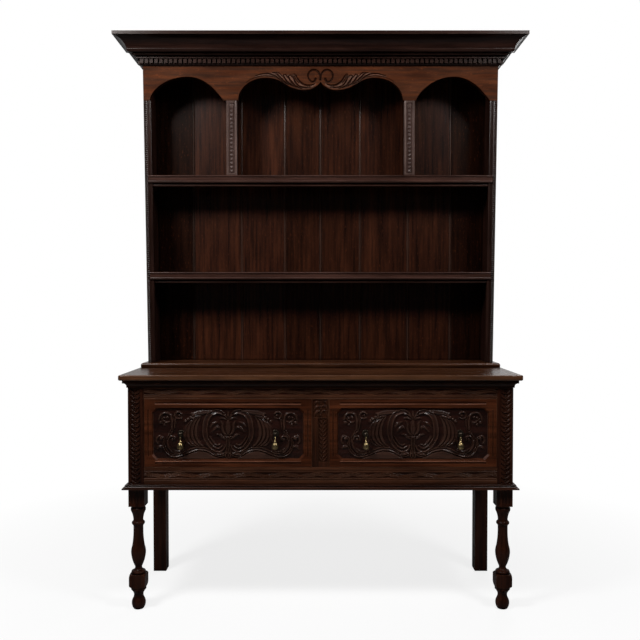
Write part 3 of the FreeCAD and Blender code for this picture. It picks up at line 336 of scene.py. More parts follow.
wear_outputs = [("Rubbed", "Float"), ("Corners", "Float")]
wear, given, result = new_group("edge_wear_and_corner_shade", [("Place", "Vector"), ("Radius", "Float")], wear_outputs)
rounded = put(wear, "Bevel", {"samples": 4}, {"Radius": given.outputs["Radius"]}).outputs[0]
straight = put(wear, "NewGeometry").outputs["Normal"]
bend = put(wear, "VectorMath", {"operation": "DOT_PRODUCT"}, {0: rounded, 1: straight}).outputs["Value"]
bend = ranged(wear, bend, RUB_FROM, RUB_FULL)
patches = noise(wear, given.outputs["Place"], 9.0, 4.0)
patches = ranged(wear, patches, *PATCH_EDGE, PATCH_LEAST, 1.0)
rubbed = sum_of(wear, "MULTIPLY", bend, patches)
open_share = put(wear, "AmbientOcclusion", {"samples": 6}, {"Distance": CORNER_REACH}).outputs["AO"]
corner_share = ranged(wear, open_share, CORNER_FROM, CORNER_FULL)
rubbed = sum_of(wear, "MULTIPLY", rubbed, sum_of(wear, "SUBTRACT", 1.0, corner_share))
wear.links.new(rubbed, result.inputs["Rubbed"])
wear.links.new(corner_share, result.inputs["Corners"])
print("edge_wear_and_corner_shade ready")

# %% [markdown]
# ## Stained and waxed oak
# One function makes every oak finish. It takes two stain colours for the hard and soft bands, the colour
# that rubbed edges show, and how much the wax shines. Dark pores, and painted shade in the corners, come on
# top of that.
# Roughness and bump follow the same grain, so a highlight breaks up along the fibres. The oiled wood itself
# hardly shines: the gloss comes from a thin coat of wax, which is missing in the corners.

# %% Oak values
CLOUD_STAIN, CLOUD_EDGE = (0.52, 0.47, 0.45), (0.35, 0.65)
PORE_SHADE = 0.45
# Painted shade: how strongly the corners are darkened, and the share of the hard colour they darken to.
CORNER_SHADE, CORNER_SHADE_TINT = 0.9, (0.2, 0.1, 0.08)
CORNER_DULLNESS = 0.25
WAX_GONE = 0.8
RUBBED_SHARE = 0.85
# Painted highlight: how far the joint beads of the back boards are paled.
BEAD_HIGHLIGHT_SHARE = 0.26
OIL_LEVEL = 0.03
WAX_TINT = (1.0, 0.74, 0.60, 1.0)
WAX_ROUGHNESS = 0.24
FLECK_GLEAM = 1.7
PORE_DEPTH = 0.25
# How sharply the tops of carving are paled, as handling and as painted highlight.
HANDLED_AND_LIT_TOPS = 6.0
GRAIN_BUMP = {"Strength": 0.35, "Distance": 0.0004}


def shade(colour, factor=1.0):
    """A colour from three numbers, with a brightness factor."""
    return tuple(c * factor for c in colour) + (1.0,)


def carved_colour(tree, place, colour, clouds, carved, rubbed):
    """The colour of carved work: a darker ground, as stain and as painted shade, and paler tops, as handling
    and as painted highlight.
    """
    ground, top, handling_and_highlight, stain_and_shade = carved
    height = ranged(tree, put(tree, "SeparateXYZ", {}, {0: place}).outputs[1], ground, top)
    stained_and_shaded = mixed(tree, 1.0, colour, shade(stain_and_shade), "MULTIPLY")
    colour = mixed(tree, height, stained_and_shaded, colour)
    handled_and_lit = sum_of(tree, "MULTIPLY", sum_of(tree, "POWER", height, HANDLED_AND_LIT_TOPS), clouds)
    return mixed(tree, sum_of(tree, "MULTIPLY", handled_and_lit, handling_and_highlight), colour, shade(rubbed))


print("oak values ready")

# %% Oak material
def oak(name, along, hard, soft, rubbed, shine, wax=0.4, seed=0.0, flecks=0.0, corner=None, carved=None,
        planks_apart=False, wear_radius=0.0022):
    """Waxed oak: hard and soft band colours, rubbed edge colour, (smooth, rough) shine and share of wax.

    Carved work also gives the places of its ground and of its tops along Y, how much the tops are paled, as
    handling and as painted highlight, and the stain and painted shade by which the ground's colour is
    multiplied.
    """
    material = bpy.data.materials.new(name)
    material.use_nodes = True
    tree = material.node_tree
    tree.nodes.clear()
    place = put(tree, "TexCoord").outputs["Object"]
    if corner is None:
        run = turned_place(tree, place, along)
    else:
        turn = put(tree, "Group", {"node_tree": mitre_grain}, {"Place": place, "Corner": corner})
        run = turn.outputs["Place"]
    grain = put(tree, "Group", {"node_tree": oak_grain}, {"Place": run, "Seed": seed}).outputs
    worn = put(tree, "Group", {"node_tree": wear}, {"Place": place, "Radius": wear_radius}).outputs
    colour = mixed(tree, grain["Figure"], shade(hard), shade(soft))
    clouded = mixed(tree, 1.0, colour, shade(CLOUD_STAIN), "MULTIPLY")
    colour = mixed(tree, ranged(tree, grain["Clouds"], *CLOUD_EDGE), clouded, colour)
    # Back boards: a tone for each board with painted shadow on the end boards, and a painted highlight on the
    # joint beads.
    if planks_apart:
        board = put(tree, "Group", {"node_tree": planks}, {"Place": place}).outputs
        toned_and_shaded = put(tree, "VectorMath", {"operation": "SCALE"}, {0: colour, "Scale": board["ToneAndShadow"]})
        painted_bead_highlight = sum_of(tree, "MULTIPLY", board["Bead"], BEAD_HIGHLIGHT_SHARE)
        colour = mixed(tree, painted_bead_highlight, toned_and_shaded.outputs[0], shade(rubbed))
    if flecks:
        ray_flecks = sum_of(tree, "MULTIPLY", grain["Flecks"], flecks)
        colour = mixed(tree, ray_flecks, colour, shade(soft, FLECK_GLEAM))
    dark_pores = sum_of(tree, "MULTIPLY", grain["Pores"], PORE_SHADE)
    colour = mixed(tree, dark_pores, colour, shade(hard, PORE_DEPTH))
    if carved:
        colour = carved_colour(tree, place, colour, grain["Clouds"], carved, rubbed)
    # Painted shade: corners that ambient occlusion finds are darkened towards a deep red brown.
    painted_corner_shade = [h * tint for h, tint in zip(hard, CORNER_SHADE_TINT)]
    colour = mixed(tree, sum_of(tree, "MULTIPLY", worn["Corners"], CORNER_SHADE), colour, shade(painted_corner_shade))
    colour = mixed(tree, sum_of(tree, "MULTIPLY", worn["Rubbed"], RUBBED_SHARE), colour, shade(rubbed))
    dull = sum_of(tree, "MULTIPLY_ADD", worn["Corners"], CORNER_DULLNESS, grain["Figure"])
    rough = ranged(tree, dull, 0.2, 1.0, *shine)
    bump = put(tree, "Bump", {}, {**GRAIN_BUMP, "Height": grain["Relief"]})
    sockets = {"Base Color": colour, "Roughness": rough, "Normal": bump.outputs[0]}
    sockets["Specular IOR Level"] = OIL_LEVEL
    sockets["Specular Tint"] = WAX_TINT
    coat = ranged(tree, worn["Corners"], 0.0, WAX_GONE, wax, 0.0)
    # The painted shadow on the end boards also thins their wax coat.
    if planks_apart:
        coat = sum_of(tree, "MULTIPLY", coat, board["ToneAndShadow"], clamp=True)
    sockets["Coat Weight"] = coat
    sockets["Coat Roughness"] = WAX_ROUGHNESS
    surface = put(tree, "BsdfPrincipled", {}, sockets)
    tree.links.new(surface.outputs[0], put(tree, "OutputMaterial").inputs[0])
    return material


print("oak finish ready")

# %% [markdown]
# ## The oak of this dresser
# The stain is nearly black on the cornice, the uprights and the carved fields. The frieze and the back
# boards are redder, where light and hands have thinned the stain. The worktop is polished by use. Inside,
# drawer sides and runners were never stained. The pale greyish oak of the pilasters and the bright oak of the
# drawer beads are painted highlight. The last five colours are for the ground of carved work, partly stain
# and partly painted shade in the recesses: they multiply the oak's own colour, so a small number makes a
# dark ground.

# %% Oak colours
def palette(hard, soft, rubbed):
    """The three colours of a stained oak: its hard bands, its soft bands and its rubbed edges."""
    return {"hard": hard, "soft": soft, "rubbed": rubbed}


BLACK_OAK = palette((0.009, 0.0032, 0.0022), (0.027, 0.0105, 0.0070), (0.065, 0.038, 0.028))
DARK_OAK = palette((0.006, 0.0021, 0.0015), (0.022, 0.0086, 0.0060), (0.060, 0.036, 0.028))
BROWN_OAK = palette((0.012, 0.0046, 0.0026), (0.052, 0.0160, 0.0070), (0.096, 0.045, 0.026))
WARM_OAK = palette((0.020, 0.0060, 0.0028), (0.088, 0.0240, 0.0088), (0.150, 0.062, 0.034))
RAIL_OAK = palette((0.020, 0.0072, 0.0036), (0.080, 0.0262, 0.0112), (0.150, 0.074, 0.044))
# Painted highlight: the drawer beads are given much paler oak than the fronts around them.
BEAD_HIGHLIGHT_OAK = palette((0.090, 0.034, 0.018), (0.200, 0.078, 0.044), (0.240, 0.120, 0.080))
RED_OAK = palette((0.017, 0.0056, 0.0020), (0.106, 0.0258, 0.0060), (0.120, 0.074, 0.056))
BACK_OAK = palette((0.0068, 0.0019, 0.0009), (0.038, 0.0104, 0.0040), (0.075, 0.046, 0.036))
TOP_OAK = palette((0.014, 0.0050, 0.0022), (0.076, 0.0270, 0.0108), (0.200, 0.090, 0.042))
POST_OAK = palette((0.008, 0.0024, 0.0014), (0.036, 0.0105, 0.0050), (0.070, 0.033, 0.020))
CARVED_OAK = palette((0.012, 0.0056, 0.0040), (0.042, 0.0165, 0.0105), (0.105, 0.054, 0.036))
STRIP_OAK = palette((0.017, 0.0070, 0.0048), (0.056, 0.0245, 0.0180), (0.090, 0.050, 0.040))
# Painted highlight: the pilasters' pale greyish oak stands in for the light they catch.
PALE_HIGHLIGHT_OAK = palette((0.034, 0.0190, 0.0150), (0.078, 0.0470, 0.0390), (0.230, 0.160, 0.140))
DRY_OAK = palette((0.16, 0.095, 0.052), (0.30, 0.19, 0.11), (0.36, 0.25, 0.16))
# Ground colours of carved work: partly stain and partly painted shade in the recesses.
GROUND_STAIN_AND_SHADE = (0.56, 0.40, 0.40)
RAIL_STAIN_AND_SHADE = (0.40, 0.30, 0.30)
STRIP_STAIN_AND_SHADE = (0.78, 0.70, 0.70)
CUT_STAIN_AND_SHADE = (0.16, 0.13, 0.14)
NO_STAIN = (1.0, 1.0, 1.0)
print("oak colours ready")

# %% [markdown]
# ## Finishes of the oak
# Each finish names its colours, its shine and its share of wax. Where a board is carved, the ground is
# darker than the tops, as stain and as painted shade, and the tops are paler, as handling and as painted
# highlight. A moulding that turns a corner also says where its mitre lies, as the sum of its place outwards
# and its place towards the back. The seeds only keep two finishes from showing the same piece of grain.

# %% Oak finishes
SATIN = (0.30, 0.50)
POLISHED = (0.20, 0.36)
MATT = (0.50, 0.72)
RACK_CORNER = 0.7136 + 0.097
FRAME_CORNER = 0.6985 - 0.2225

finishes = {}
for along in "XYZ":
    finishes["black_" + along] = oak("black_oak_" + along.lower(), along, shine=SATIN, seed=1.3, **BLACK_OAK)
for along in "XY":
    finishes["dry_" + along] = oak("dry_oak_" + along.lower(), along, shine=MATT, seed=7.7, **DRY_OAK)
# Painted shade darkens the frieze's cuts, and painted highlight pales its raised leaves.
finishes["frieze"] = oak("frieze_oak", "X", shine=MATT, wax=0.0, seed=2.9, flecks=0.4,
                         carved=(0.0990, 0.0962, 0.9, CUT_STAIN_AND_SHADE), **RED_OAK)
finishes["back"] = oak("back_board_oak", "Z", shine=SATIN, wax=0.40, seed=5.2, flecks=0.5, planks_apart=True,
                       **BACK_OAK)
finishes["worktop"] = oak("worktop_oak", "X", shine=POLISHED, seed=6.3,
                          carved=(-0.2400, -0.2460, 0.32, NO_STAIN), **TOP_OAK)
finishes["strip"] = oak("shelf_strip_oak", "X", shine=SATIN, wax=0.3, seed=20.4, **STRIP_OAK)
# The carved ground is darkened as stain and painted shade, and the tops are paled as handling and painted
# highlight.
finishes["carved"] = oak("carved_oak", "X", shine=SATIN, wax=0.28, seed=8.4, wear_radius=0.003,
                         carved=(-0.2168, -0.2212, 0.25, GROUND_STAIN_AND_SHADE), **CARVED_OAK)
finishes["drawer"] = oak("drawer_oak", "X", shine=MATT, wax=0.03, seed=16.6, **WARM_OAK)
# Painted highlight: the pale drawer beads.
finishes["bead"] = oak("bead_oak", "X", shine=SATIN, wax=0.1, seed=18.3, **BEAD_HIGHLIGHT_OAK)
finishes["cornice"] = oak("cornice_oak", "X", shine=SATIN, wax=0.2, seed=3.6, corner=RACK_CORNER, **DARK_OAK)
# The rail's sunk band is darkened as stain and painted shade; its face and wave are paled a little, as
# handling and painted highlight.
finishes["rail"] = oak("rail_oak", "X", shine=SATIN, wax=0.08, seed=10.2,
                       carved=(-0.2204, -0.2222, 0.12, RAIL_STAIN_AND_SHADE), **RAIL_OAK)
finishes["muntin"] = oak("muntin_oak", "Z", shine=SATIN, wax=0.1, seed=11.4, **BROWN_OAK)
finishes["leg"] = oak("leg_oak", "Z", shine=SATIN, wax=0.09, seed=12.7, **POST_OAK)
finishes["stile"] = oak("stile_oak", "Z", shine=SATIN, wax=0.3, seed=13.9, **DARK_OAK)
# Pale greyish oak as painted highlight; the sunk strip is darkened a little as stain and painted shade.
finishes["pilaster"] = oak("pilaster_oak", "Z", shine=SATIN, seed=15.1,
                           carved=(0.0996, 0.0974, 0.1, STRIP_STAIN_AND_SHADE), **PALE_HIGHLIGHT_OAK)
finishes["moulding"] = oak("moulding_oak", "X", shine=SATIN, wax=0.2, seed=9.1, corner=FRAME_CORNER,
                           **POST_OAK)
print("oak finishes", sorted(finishes))

# %% [markdown]
# ## Brass and steel
# The drops are cast brass, rubbed bright where fingers hold them and dark in the turned grooves. The plates
# and posts behind them are hardly touched, so they stay brown. The hidden screws and nuts are plain dull
# steel.

# %% Metal finishes
METAL_RUB = 0.0010
SPOT_SCALE, SPOT_EDGE = 260.0, (0.35, 0.70)


def metal(name, bright, dark, tarnish, shine):
    """Metal that is bright where it is rubbed and dark in its corners."""
    material = bpy.data.materials.new(name)
    material.use_nodes = True
    tree = material.node_tree
    tree.nodes.clear()
    place = put(tree, "TexCoord").outputs["Object"]
    worn = put(tree, "Group", {"node_tree": wear}, {"Place": place, "Radius": METAL_RUB}).outputs
    spots = ranged(tree, noise(tree, place, SPOT_SCALE, 4.0), *SPOT_EDGE, tarnish, 0.0)
    dark_share = sum_of(tree, "MAXIMUM", spots, worn["Corners"])
    colour = mixed(tree, dark_share, shade(bright), shade(dark))
    rough = ranged(tree, dark_share, 0.0, 1.0, *shine)
    pits = put(tree, "Bump", {}, {"Strength": 0.15, "Distance": 0.0002, "Height": spots})
    sockets = {"Base Color": colour, "Metallic": 1.0, "Roughness": rough, "Normal": pits.outputs[0]}
    surface = put(tree, "BsdfPrincipled", {}, sockets)
    tree.links.new(surface.outputs[0], put(tree, "OutputMaterial").inputs[0])
    return material


finishes["bright_brass"] = metal("rubbed_brass", (0.36, 0.27, 0.13), (0.050, 0.032, 0.017), 0.85, (0.22, 0.5))
finishes["dark_brass"] = metal("dark_brass", (0.070, 0.054, 0.040), (0.012, 0.009, 0.007), 0.9, (0.30, 0.6))
finishes["steel"] = metal("dull_steel", (0.36, 0.34, 0.31), (0.12, 0.09, 0.07), 0.6, (0.35, 0.6))
print("metals ready")

# %% [markdown]
# ## Finish for each solid of the frame
# Most of the frame's solids already have the right shape, so they only need a finish with the grain along
# their length. Solids that a carved piece replaces are hidden later, but they get a finish all the same.

# %% Dress the frame
def finish_for(node):
    """The finish of a solid, from its name."""
    if node.endswith("_drop"):
        return "bright_brass"
    if node.endswith(("pull_plates", "pull_posts")):
        return "dark_brass"
    if node.endswith("pull_nuts") or node == "wood_screws":
        return "steel"
    return OAK_OF.get(node) or OAK_OF[node.split("_", 1)[1]]


OAK_OF = {
    "worktop": "worktop", "rack_base_board": "worktop", "frieze_board": "frieze", "rack_back_boards": "back",
    "cornice_crown": "cornice", "dentil_course": "cornice", "worktop_bed_moulding": "moulding",
    "bottom_edge_moulding": "moulding", "top_front_rail": "rail", "bottom_front_rail": "rail",
    "centre_muntin": "muntin", "front_leg": "leg", "back_leg": "leg", "end_board": "black_Y",
    "base_back_panel": "dry_X", "centre_runner": "dry_Y", "drawer_guides": "dry_Y", "drawer_kickers": "dry_Y",
    "drawer_runners": "dry_Y", "drawer_stops": "dry_X", "worktop_buttons": "dry_X", "lower_shelf": "black_X",
    "upper_shelf": "black_X", "lower_shelf_strip": "strip", "upper_shelf_strip": "strip",
    "rack_top_board": "black_X", "stile": "stile", "pilaster": "pilaster", "partition": "black_Z",
    "rack_side": "black_Z", "drawer_front": "drawer", "drawer_back": "dry_X",
    "drawer_bottom": "dry_X", "drawer_inner_side": "dry_Y", "drawer_outer_side": "dry_Y",
}
for name, solid in nodes.items():
    solid.data.materials.clear()
    solid.data.materials.append(finishes[finish_for(name)])
print("dressed", len(nodes), "solids")

# %% [markdown]
# ## Carved boards
# Carving is a height over a flat face. So each carved board here is one closed mesh: a fine grid on the
# front that follows the height, walls round its rim and a flat back. It is easy to reason about and it has
# no stray faces, whereas cutting hundreds of small shapes out of a board would be slow and fragile.

# %% Carved board mesh
EDGE_ANGLE = math.radians(32.0)


def new_piece(name, points, faces, body, finish, stands_for=()):
    """A mesh piece from points in millimetres, riding on a body."""
    mesh = bpy.data.meshes.new(name)
    mesh.from_pydata((np.asarray(points) * MM).tolist(), [], faces)
    mesh.validate()
    mesh.shade_smooth()
    mesh.set_sharp_from_angle(angle=EDGE_ANGLE)
    mesh.materials.append(finishes[finish])
    piece = bpy.data.objects.new(name, mesh)
    bpy.context.scene.collection.objects.link(piece)
    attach(piece, body)
    if stands_for:
        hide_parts(*stands_for)
    print(name, len(mesh.vertices), "points")
    return piece


def board_mesh(x, z, front, back):
    """Points and faces of a closed board: a front grid, walls and a flat back."""
    rows, columns = x.shape
    skin = np.stack([x, front, z], axis=-1).reshape(-1, 3)
    index = np.arange(rows * columns).reshape(rows, columns)
    quads = np.stack([index[:-1, :-1], index[:-1, 1:], index[1:, 1:], index[1:, :-1]], axis=-1)
    rim = np.concatenate([index[0, :-1], index[:-1, -1], index[-1, :0:-1], index[:0:-1, 0]])
    rear = skin[rim].copy()
    rear[:, 1] = back
    behind = len(skin) + np.arange(len(rim))
    walls = np.stack([rim, behind, np.roll(behind, -1), np.roll(rim, -1)], axis=-1)
    faces = quads.reshape(-1, 4).tolist() + walls.tolist() + [behind[::-1].tolist()]
    return np.concatenate([skin, rear]), faces


def flat_grid(x_low, x_high, z_low, z_high, step_x, step_z):
    """Even grid of places on a rectangle."""
    across = np.linspace(x_low, x_high, max(int((x_high - x_low) / step_x), 1) + 1)
    up = np.linspace(z_low, z_high, max(int((z_high - z_low) / step_z), 1) + 1)
    return np.meshgrid(across, up)


print("carving bench ready")

# %% [markdown]
# ## The carver's strokes
# Scrolls, stems, leaves and beads are all strokes: a smooth line with a width that changes along it and a
# section across it. A rounded section makes a stem, one with a vein makes a leaf, and one with raised rims
# and a hollow between them makes the strap of a scroll. Three reeds side by side make the bud's thick stem,
# and a groove is for cuts. Round beads finish the curls. Where two strokes cross, the later one lies on top
# and a narrow cut is set in round it, so that every leaf reads by its own dark outline. A stroke is written
# as its section, its height, its half widths from start to end, and its places. A section is a share of the
# height, and q runs from 0 in the stroke's middle to 1 at its edge.

# %% Smooth lines
def smooth_line(places, per_span=9):
    """A smooth line through the given places, as points."""
    p = np.array([places[0], *places, places[-1]], float)
    t = np.linspace(0.0, 1.0, per_span, endpoint=False)[:, None]
    spans = []
    for i in range(1, len(p) - 2):
        a, b, c, d = p[i - 1:i + 3]
        spans.append(b + (c - a) * t / 2 + (a - 2.5 * b + 2 * c - d / 2) * t ** 2
                     + (1.5 * (b - c) + (d - a) / 2) * t ** 3)
    return np.concatenate([*spans, p[-1:]])


def along_stroke(x, z, places):
    """Distance of every grid place from a line, and how far along the line its nearest point is."""
    line = smooth_line(places)
    best = np.full(x.shape, 1e9)
    share = np.zeros(x.shape)
    spans = len(line) - 1
    for i in range(spans):
        a, b = line[i], line[i + 1]
        run = b - a
        u = ((x - a[0]) * run[0] + (z - a[1]) * run[1]) / max(run @ run, 1e-9)
        u = np.clip(u, 0.0, 1.0)
        away = np.hypot(x - a[0] - u * run[0], z - a[1] - u * run[1])
        nearer = away < best
        best[nearer] = away[nearer]
        share[nearer] = ((i + u) / spans)[nearer]
    return best, share


print("lines ready")

# %% Strokes
OUTLINE_WIDTH = 1.9
OUTLINE_CUT = 0.75
SECTIONS = {
    "stem": lambda q: np.sqrt(np.clip(1.0 - q ** 2, 0.0, 1.0)),
    "leaf": lambda q: np.clip(1.0 - q ** 2.4, 0.0, 1.0) ** 0.6 * (1.0 - 0.30 * np.exp(-(q / 0.16) ** 2)),
    "strap": lambda q: (0.40 + 0.60 * np.clip(q / 0.72, 0.0, 1.0) ** 2) * np.clip((1.0 - q) * 5.0, 0.0, 1.0),
    "reeds": lambda q: (0.60 + 0.40 * np.cos(3.0 * np.pi * q)) * np.clip((1.0 - q) * 5.0, 0.0, 1.0),
    "groove": lambda q: np.clip(1.0 - q, 0.0, 1.0),
}


def stroke(x, z, section, height, widths, places):
    """Height of one stroke over the grid, and how near each place is to the stroke's outline."""
    pad = max(widths) + OUTLINE_WIDTH
    xs = [p[0] for p in places]
    zs = [p[1] for p in places]
    near = (x > min(xs) - pad) & (x < max(xs) + pad) & (z > min(zs) - pad) & (z < max(zs) + pad)
    raised = np.zeros(x.shape)
    outline = np.zeros(x.shape)
    if near.any():
        away, share = along_stroke(x[near], z[near], places)
        half = np.interp(share, np.linspace(0.0, 1.0, len(widths)), widths)
        raised[near] = height * SECTIONS[section](away / np.maximum(half, 0.01))
        beyond = np.abs(away - half - OUTLINE_WIDTH / 3)
        outline[near] = np.clip(1.0 - beyond / OUTLINE_WIDTH, 0.0, 1.0)
    return raised, outline


def carve(x, z, strokes):
    """Height of many strokes over the grid. A later one lies over the earlier ones, with a cut round it."""
    top = np.zeros(x.shape)
    for section, height, widths, places in strokes:
        raised, outline = stroke(x, z, section, height, widths, places)
        top = np.maximum(top * (1.0 - OUTLINE_CUT * outline), raised)
    return top


print("sections", sorted(SECTIONS))

# %% Beads and tool marks
def pearls(x, z, places):
    """Height of round beads over the grid. Each is given as height, radius and place."""
    top = np.zeros(x.shape)
    for height, radius, bead_x, bead_z in places:
        away = np.hypot(x - bead_x, z - bead_z) / radius
        top = np.maximum(top, height * np.sqrt(np.clip(1.0 - away ** 2, 0.0, 1.0)))
    return top


def toolmarks(x, z, size, depth):
    """Shallow facets that a gouge leaves on a ground."""
    across = np.sin(x / size + 1.7 * np.sin(z / size / 1.9))
    up = np.sin(z / size + 1.3 * np.sin(x / size / 1.6))
    return depth * (across * up)


print("beads and tool marks ready")

# %% [markdown]
# ## Drawer carving
# Each drawer has a sunk field with a symmetrical design. A bud stands in the middle, two broad bands sweep
# round it in the shape of a heart, long leaves cross beside them, curls fill the outer corners, and a wave
# of stem runs along the foot. Under the wave the ground is left high, as a plain land. Only the left half
# is marked out, from the drawer's middle line outwards. The right half is the same with its sign changed,
# which is how a carver would use one paper pattern twice.

# %% Heart and leaves
HEART_STROKES = [
    ("strap", 5.5, (5.5, 8.5, 10, 10.5, 10.5, 10, 9, 6.5), [(-14.3, 717.3), (-23.4, 724.5), (-36.6, 728.8),
        (-51.5, 726.1), (-66.3, 717.3), (-77, 701.6), (-82.8, 678.4), (-84.1, 655.2), (-81.5, 635.3),
        (-72.9, 617.1), (-60.5, 602.2)]),
    ("stem", 5, (3, 4.2, 4.6, 4.2, 3.2), [(-78.7, 614.6), (-68, 598.1), (-51.5, 584.8), (-33.3, 580.7),
        (-18.4, 589), (-9.4, 603.9)]),
    ("stem", 4.6, (2.6, 3.6, 3.8, 3.2, 2.2), [(-70.4, 627.9), (-62.2, 612.2), (-49, 598.1), (-35, 593.9),
        (-21.8, 603)]),
    ("stem", 4.2, (2.4, 3, 3, 2.2), [(-66.3, 637), (-56.4, 620.4), (-43.2, 606.4), (-30.8, 608.8)]),
]
WING_STROKES = [
    ("leaf", 4.4, (3.5, 7, 9, 9, 7, 3.5), [(-49, 730.6), (-68, 728.1), (-87.8, 725.1), (-107.6, 722.3),
        (-120.8, 719.8), (-133.1, 720.7)]),
    ("leaf", 4.2, (3.5, 7, 6, 3.6), [(-99.3, 711.5), (-112.5, 707.4), (-122.4, 704.9), (-129.8, 704.1)]),
    ("leaf", 3.4, (1.6, 5, 7.6, 7.8, 6, 3.4, 1.2), [(-124, 700), (-141, 686), (-153, 666), (-158, 645),
        (-155, 626), (-143, 611), (-127, 603)]),
    ("leaf", 4.0, (1.6, 5, 7.4, 7.4, 6, 3.6, 1.2), [(-117, 703), (-132, 688), (-142, 668), (-145, 646),
        (-141, 627), (-129, 611), (-112, 601)]),
    ("leaf", 4.5, (1.6, 4.6, 7, 7.2, 6, 3.8, 1.2), [(-109, 705), (-121, 690), (-129, 669), (-131, 647),
        (-126, 627), (-115, 611), (-101, 601)]),
    ("leaf", 4.9, (1.6, 4.4, 6.6, 7, 6, 4, 1.4), [(-101, 706), (-110, 690), (-116, 669), (-117, 647),
        (-112, 628), (-103, 612), (-91, 601)]),
    ("leaf", 3.2, (1, 3, 3.6, 1.2), [(-155, 628), (-163, 616), (-167, 604), (-163, 595)]),
]
print("heart and leaves", len(HEART_STROKES) + len(WING_STROKES), "strokes")

# %% Wave and curls
WAVE_STROKES = [
    ("strap", 5.4, (4, 5, 5.4, 6, 6.8, 7, 6.4, 5.8, 5.4, 5.2, 5, 4.6, 3.4), [(-6.1, 578.2), (-16.8, 571.6),
        (-31.7, 568.8), (-49, 573.7), (-68, 585.2), (-89.4, 592.3), (-110.9, 593.6), (-131.5, 588),
        (-151.3, 579.5), (-170.2, 571.9), (-188.4, 567.8), (-205.7, 569.4), (-218.9, 578.2), (-228, 591.5),
        (-233, 607.2), (-231.6, 623.8), (-238.7, 635)]),
    ("stem", 4.6, (2.4, 4, 3.4, 2), [(-238.7, 635), (-248.6, 639), (-258, 632), (-259.7, 620.4),
        (-254.4, 612.2)]),
    ("stem", 4.4, (3, 4.6, 5.4, 5, 3), [(-212.3, 650.3), (-218.9, 633.7), (-220.1, 613.8), (-214, 595.6),
        (-200, 580.7), (-178.5, 576.5), (-158.7, 582.3)]),
    ("leaf", 3.6, (2, 4.4, 4.4, 1.8), [(-162, 587.3), (-178.5, 582.3), (-193.3, 584), (-204.9, 592.3)]),
    ("leaf", 3.8, (2.2, 5.4, 5.4, 2), [(-233, 598.1), (-241.2, 600.6), (-251.1, 598.9), (-257.7, 592.3)]),
    ("leaf", 4.2, (2, 6, 6.4, 3), [(-48.2, 569.9), (-36.6, 572.4), (-25.1, 574.9), (-16.9, 576.1)]),
]
CURL_STROKES = [
    ("strap", 5.1, (4.4, 6.4, 7, 6.6, 5.4, 4.2), [(-193, 716.2), (-195, 699.9), (-198.3, 680.1),
        (-202.9, 661.9), (-209.5, 650.3), (-215.1, 637)]),
    ("stem", 5, (3, 3.8, 3.8, 3), [(-168.3, 719.5), (-176, 725.5), (-185.4, 725.8), (-192.7, 717.8)]),
    ("stem", 4, (2.8, 3.2, 2.2), [(-192.7, 717.8), (-191.4, 706.6), (-180.2, 702.9), (-169.4, 706.6)]),
    ("stem", 4.9, (3.6, 4.2, 4.2, 3.8, 3.4, 3.4), [(-203.2, 661.9), (-203.2, 678.4), (-203.2, 695),
        (-205.7, 709.1), (-212.3, 718.5), (-223.9, 723.1), (-236.2, 721.5), (-246.2, 712.4),
        (-249.5, 699.9)]),
    ("leaf", 3.8, (1.8, 4, 3, 1.6), [(-213.2, 691.7), (-224.7, 688.4), (-234.6, 695), (-240.4, 701.6)]),
    ("stem", 4.8, (3, 3.8, 3.8, 2.6), [(-192.5, 624.6), (-193.7, 633.7), (-202.4, 638.3), (-212.8, 635.3),
        (-216.8, 626.2)]),
]
print("wave and curls", len(WAVE_STROKES) + len(CURL_STROKES), "strokes")

# %% Bud and beads
BUD_STROKES = [
    ("leaf", 5.2, (4, 10.5, 12.5, 9, 2), [(0, 640), (0, 654), (0, 668), (0, 684), (0, 698)]),
    ("leaf", 4.8, (2.5, 5.5, 6, 4, 1.4), [(-5, 642), (-15, 653), (-20, 668), (-20, 682), (-26, 694)]),
    ("leaf", 4.2, (1.7, 4.7, 5, 2.2), [(-58, 655), (-48, 666), (-38, 672), (-30, 668)]),
    ("leaf", 3.4, (1.7, 5.2, 1.7), [(-66, 672), (-54, 684), (-40, 690)]),
    ("leaf", 5, (1.6, 4.6, 4, 1.2), [(0, 702), (0, 711), (0, 719), (0, 728)]),
    ("leaf", 4.7, (1.4, 4.2, 3.8, 1.2), [(-3, 702), (-8, 710), (-12, 716), (-18, 720)]),
    ("leaf", 4.4, (1.4, 4, 3.4, 1), [(-6, 700), (-15, 704), (-23, 706), (-31, 704)]),
    ("stem", 5.4, (3.2, 4.2, 3.2), [(-13, 637), (0, 634.5), (13, 637)]),
    ("leaf", 4.4, (1.8, 5, 4.6, 1.4), [(-8, 628), (-19, 634), (-27, 643), (-40, 645)]),
    ("reeds", 5, (7.5, 8, 7, 8, 10.5, 13.5, 14, 9), [(0, 633), (0, 622), (0, 610), (0, 598), (0, 586),
        (0, 574), (0, 566), (0, 561)]),
]
DRAWER_STROKES = HEART_STROKES + WING_STROKES + WAVE_STROKES + CURL_STROKES + BUD_STROKES
DRAWER_PEARLS = [
    (5.6, 5.8, -127, 712.9), (5.7, 6.4, -135.1, 706.2), (5.7, 6, -144.6, 699.9), (5.7, 5.6, -154.2, 692.8),
    (5.5, 6.6, -244.5, 629.9), (5.4, 4.6, -176.8, 713.9), (5.5, 6.2, -244.8, 688.4), (5.4, 5, -220.1, 706.9),
    (4.6, 4.4, -233.8, 704.9), (4.8, 5, -232.1, 680.4), (4.9, 6, -201.9, 626.2),
]
print("drawer strokes", len(DRAWER_STROKES), "beads", len(DRAWER_PEARLS))

# %% Drawer carving
LAND_MIDDLE, LAND_HALF, LAND_GAP = -109.0, 78.0, 8.5
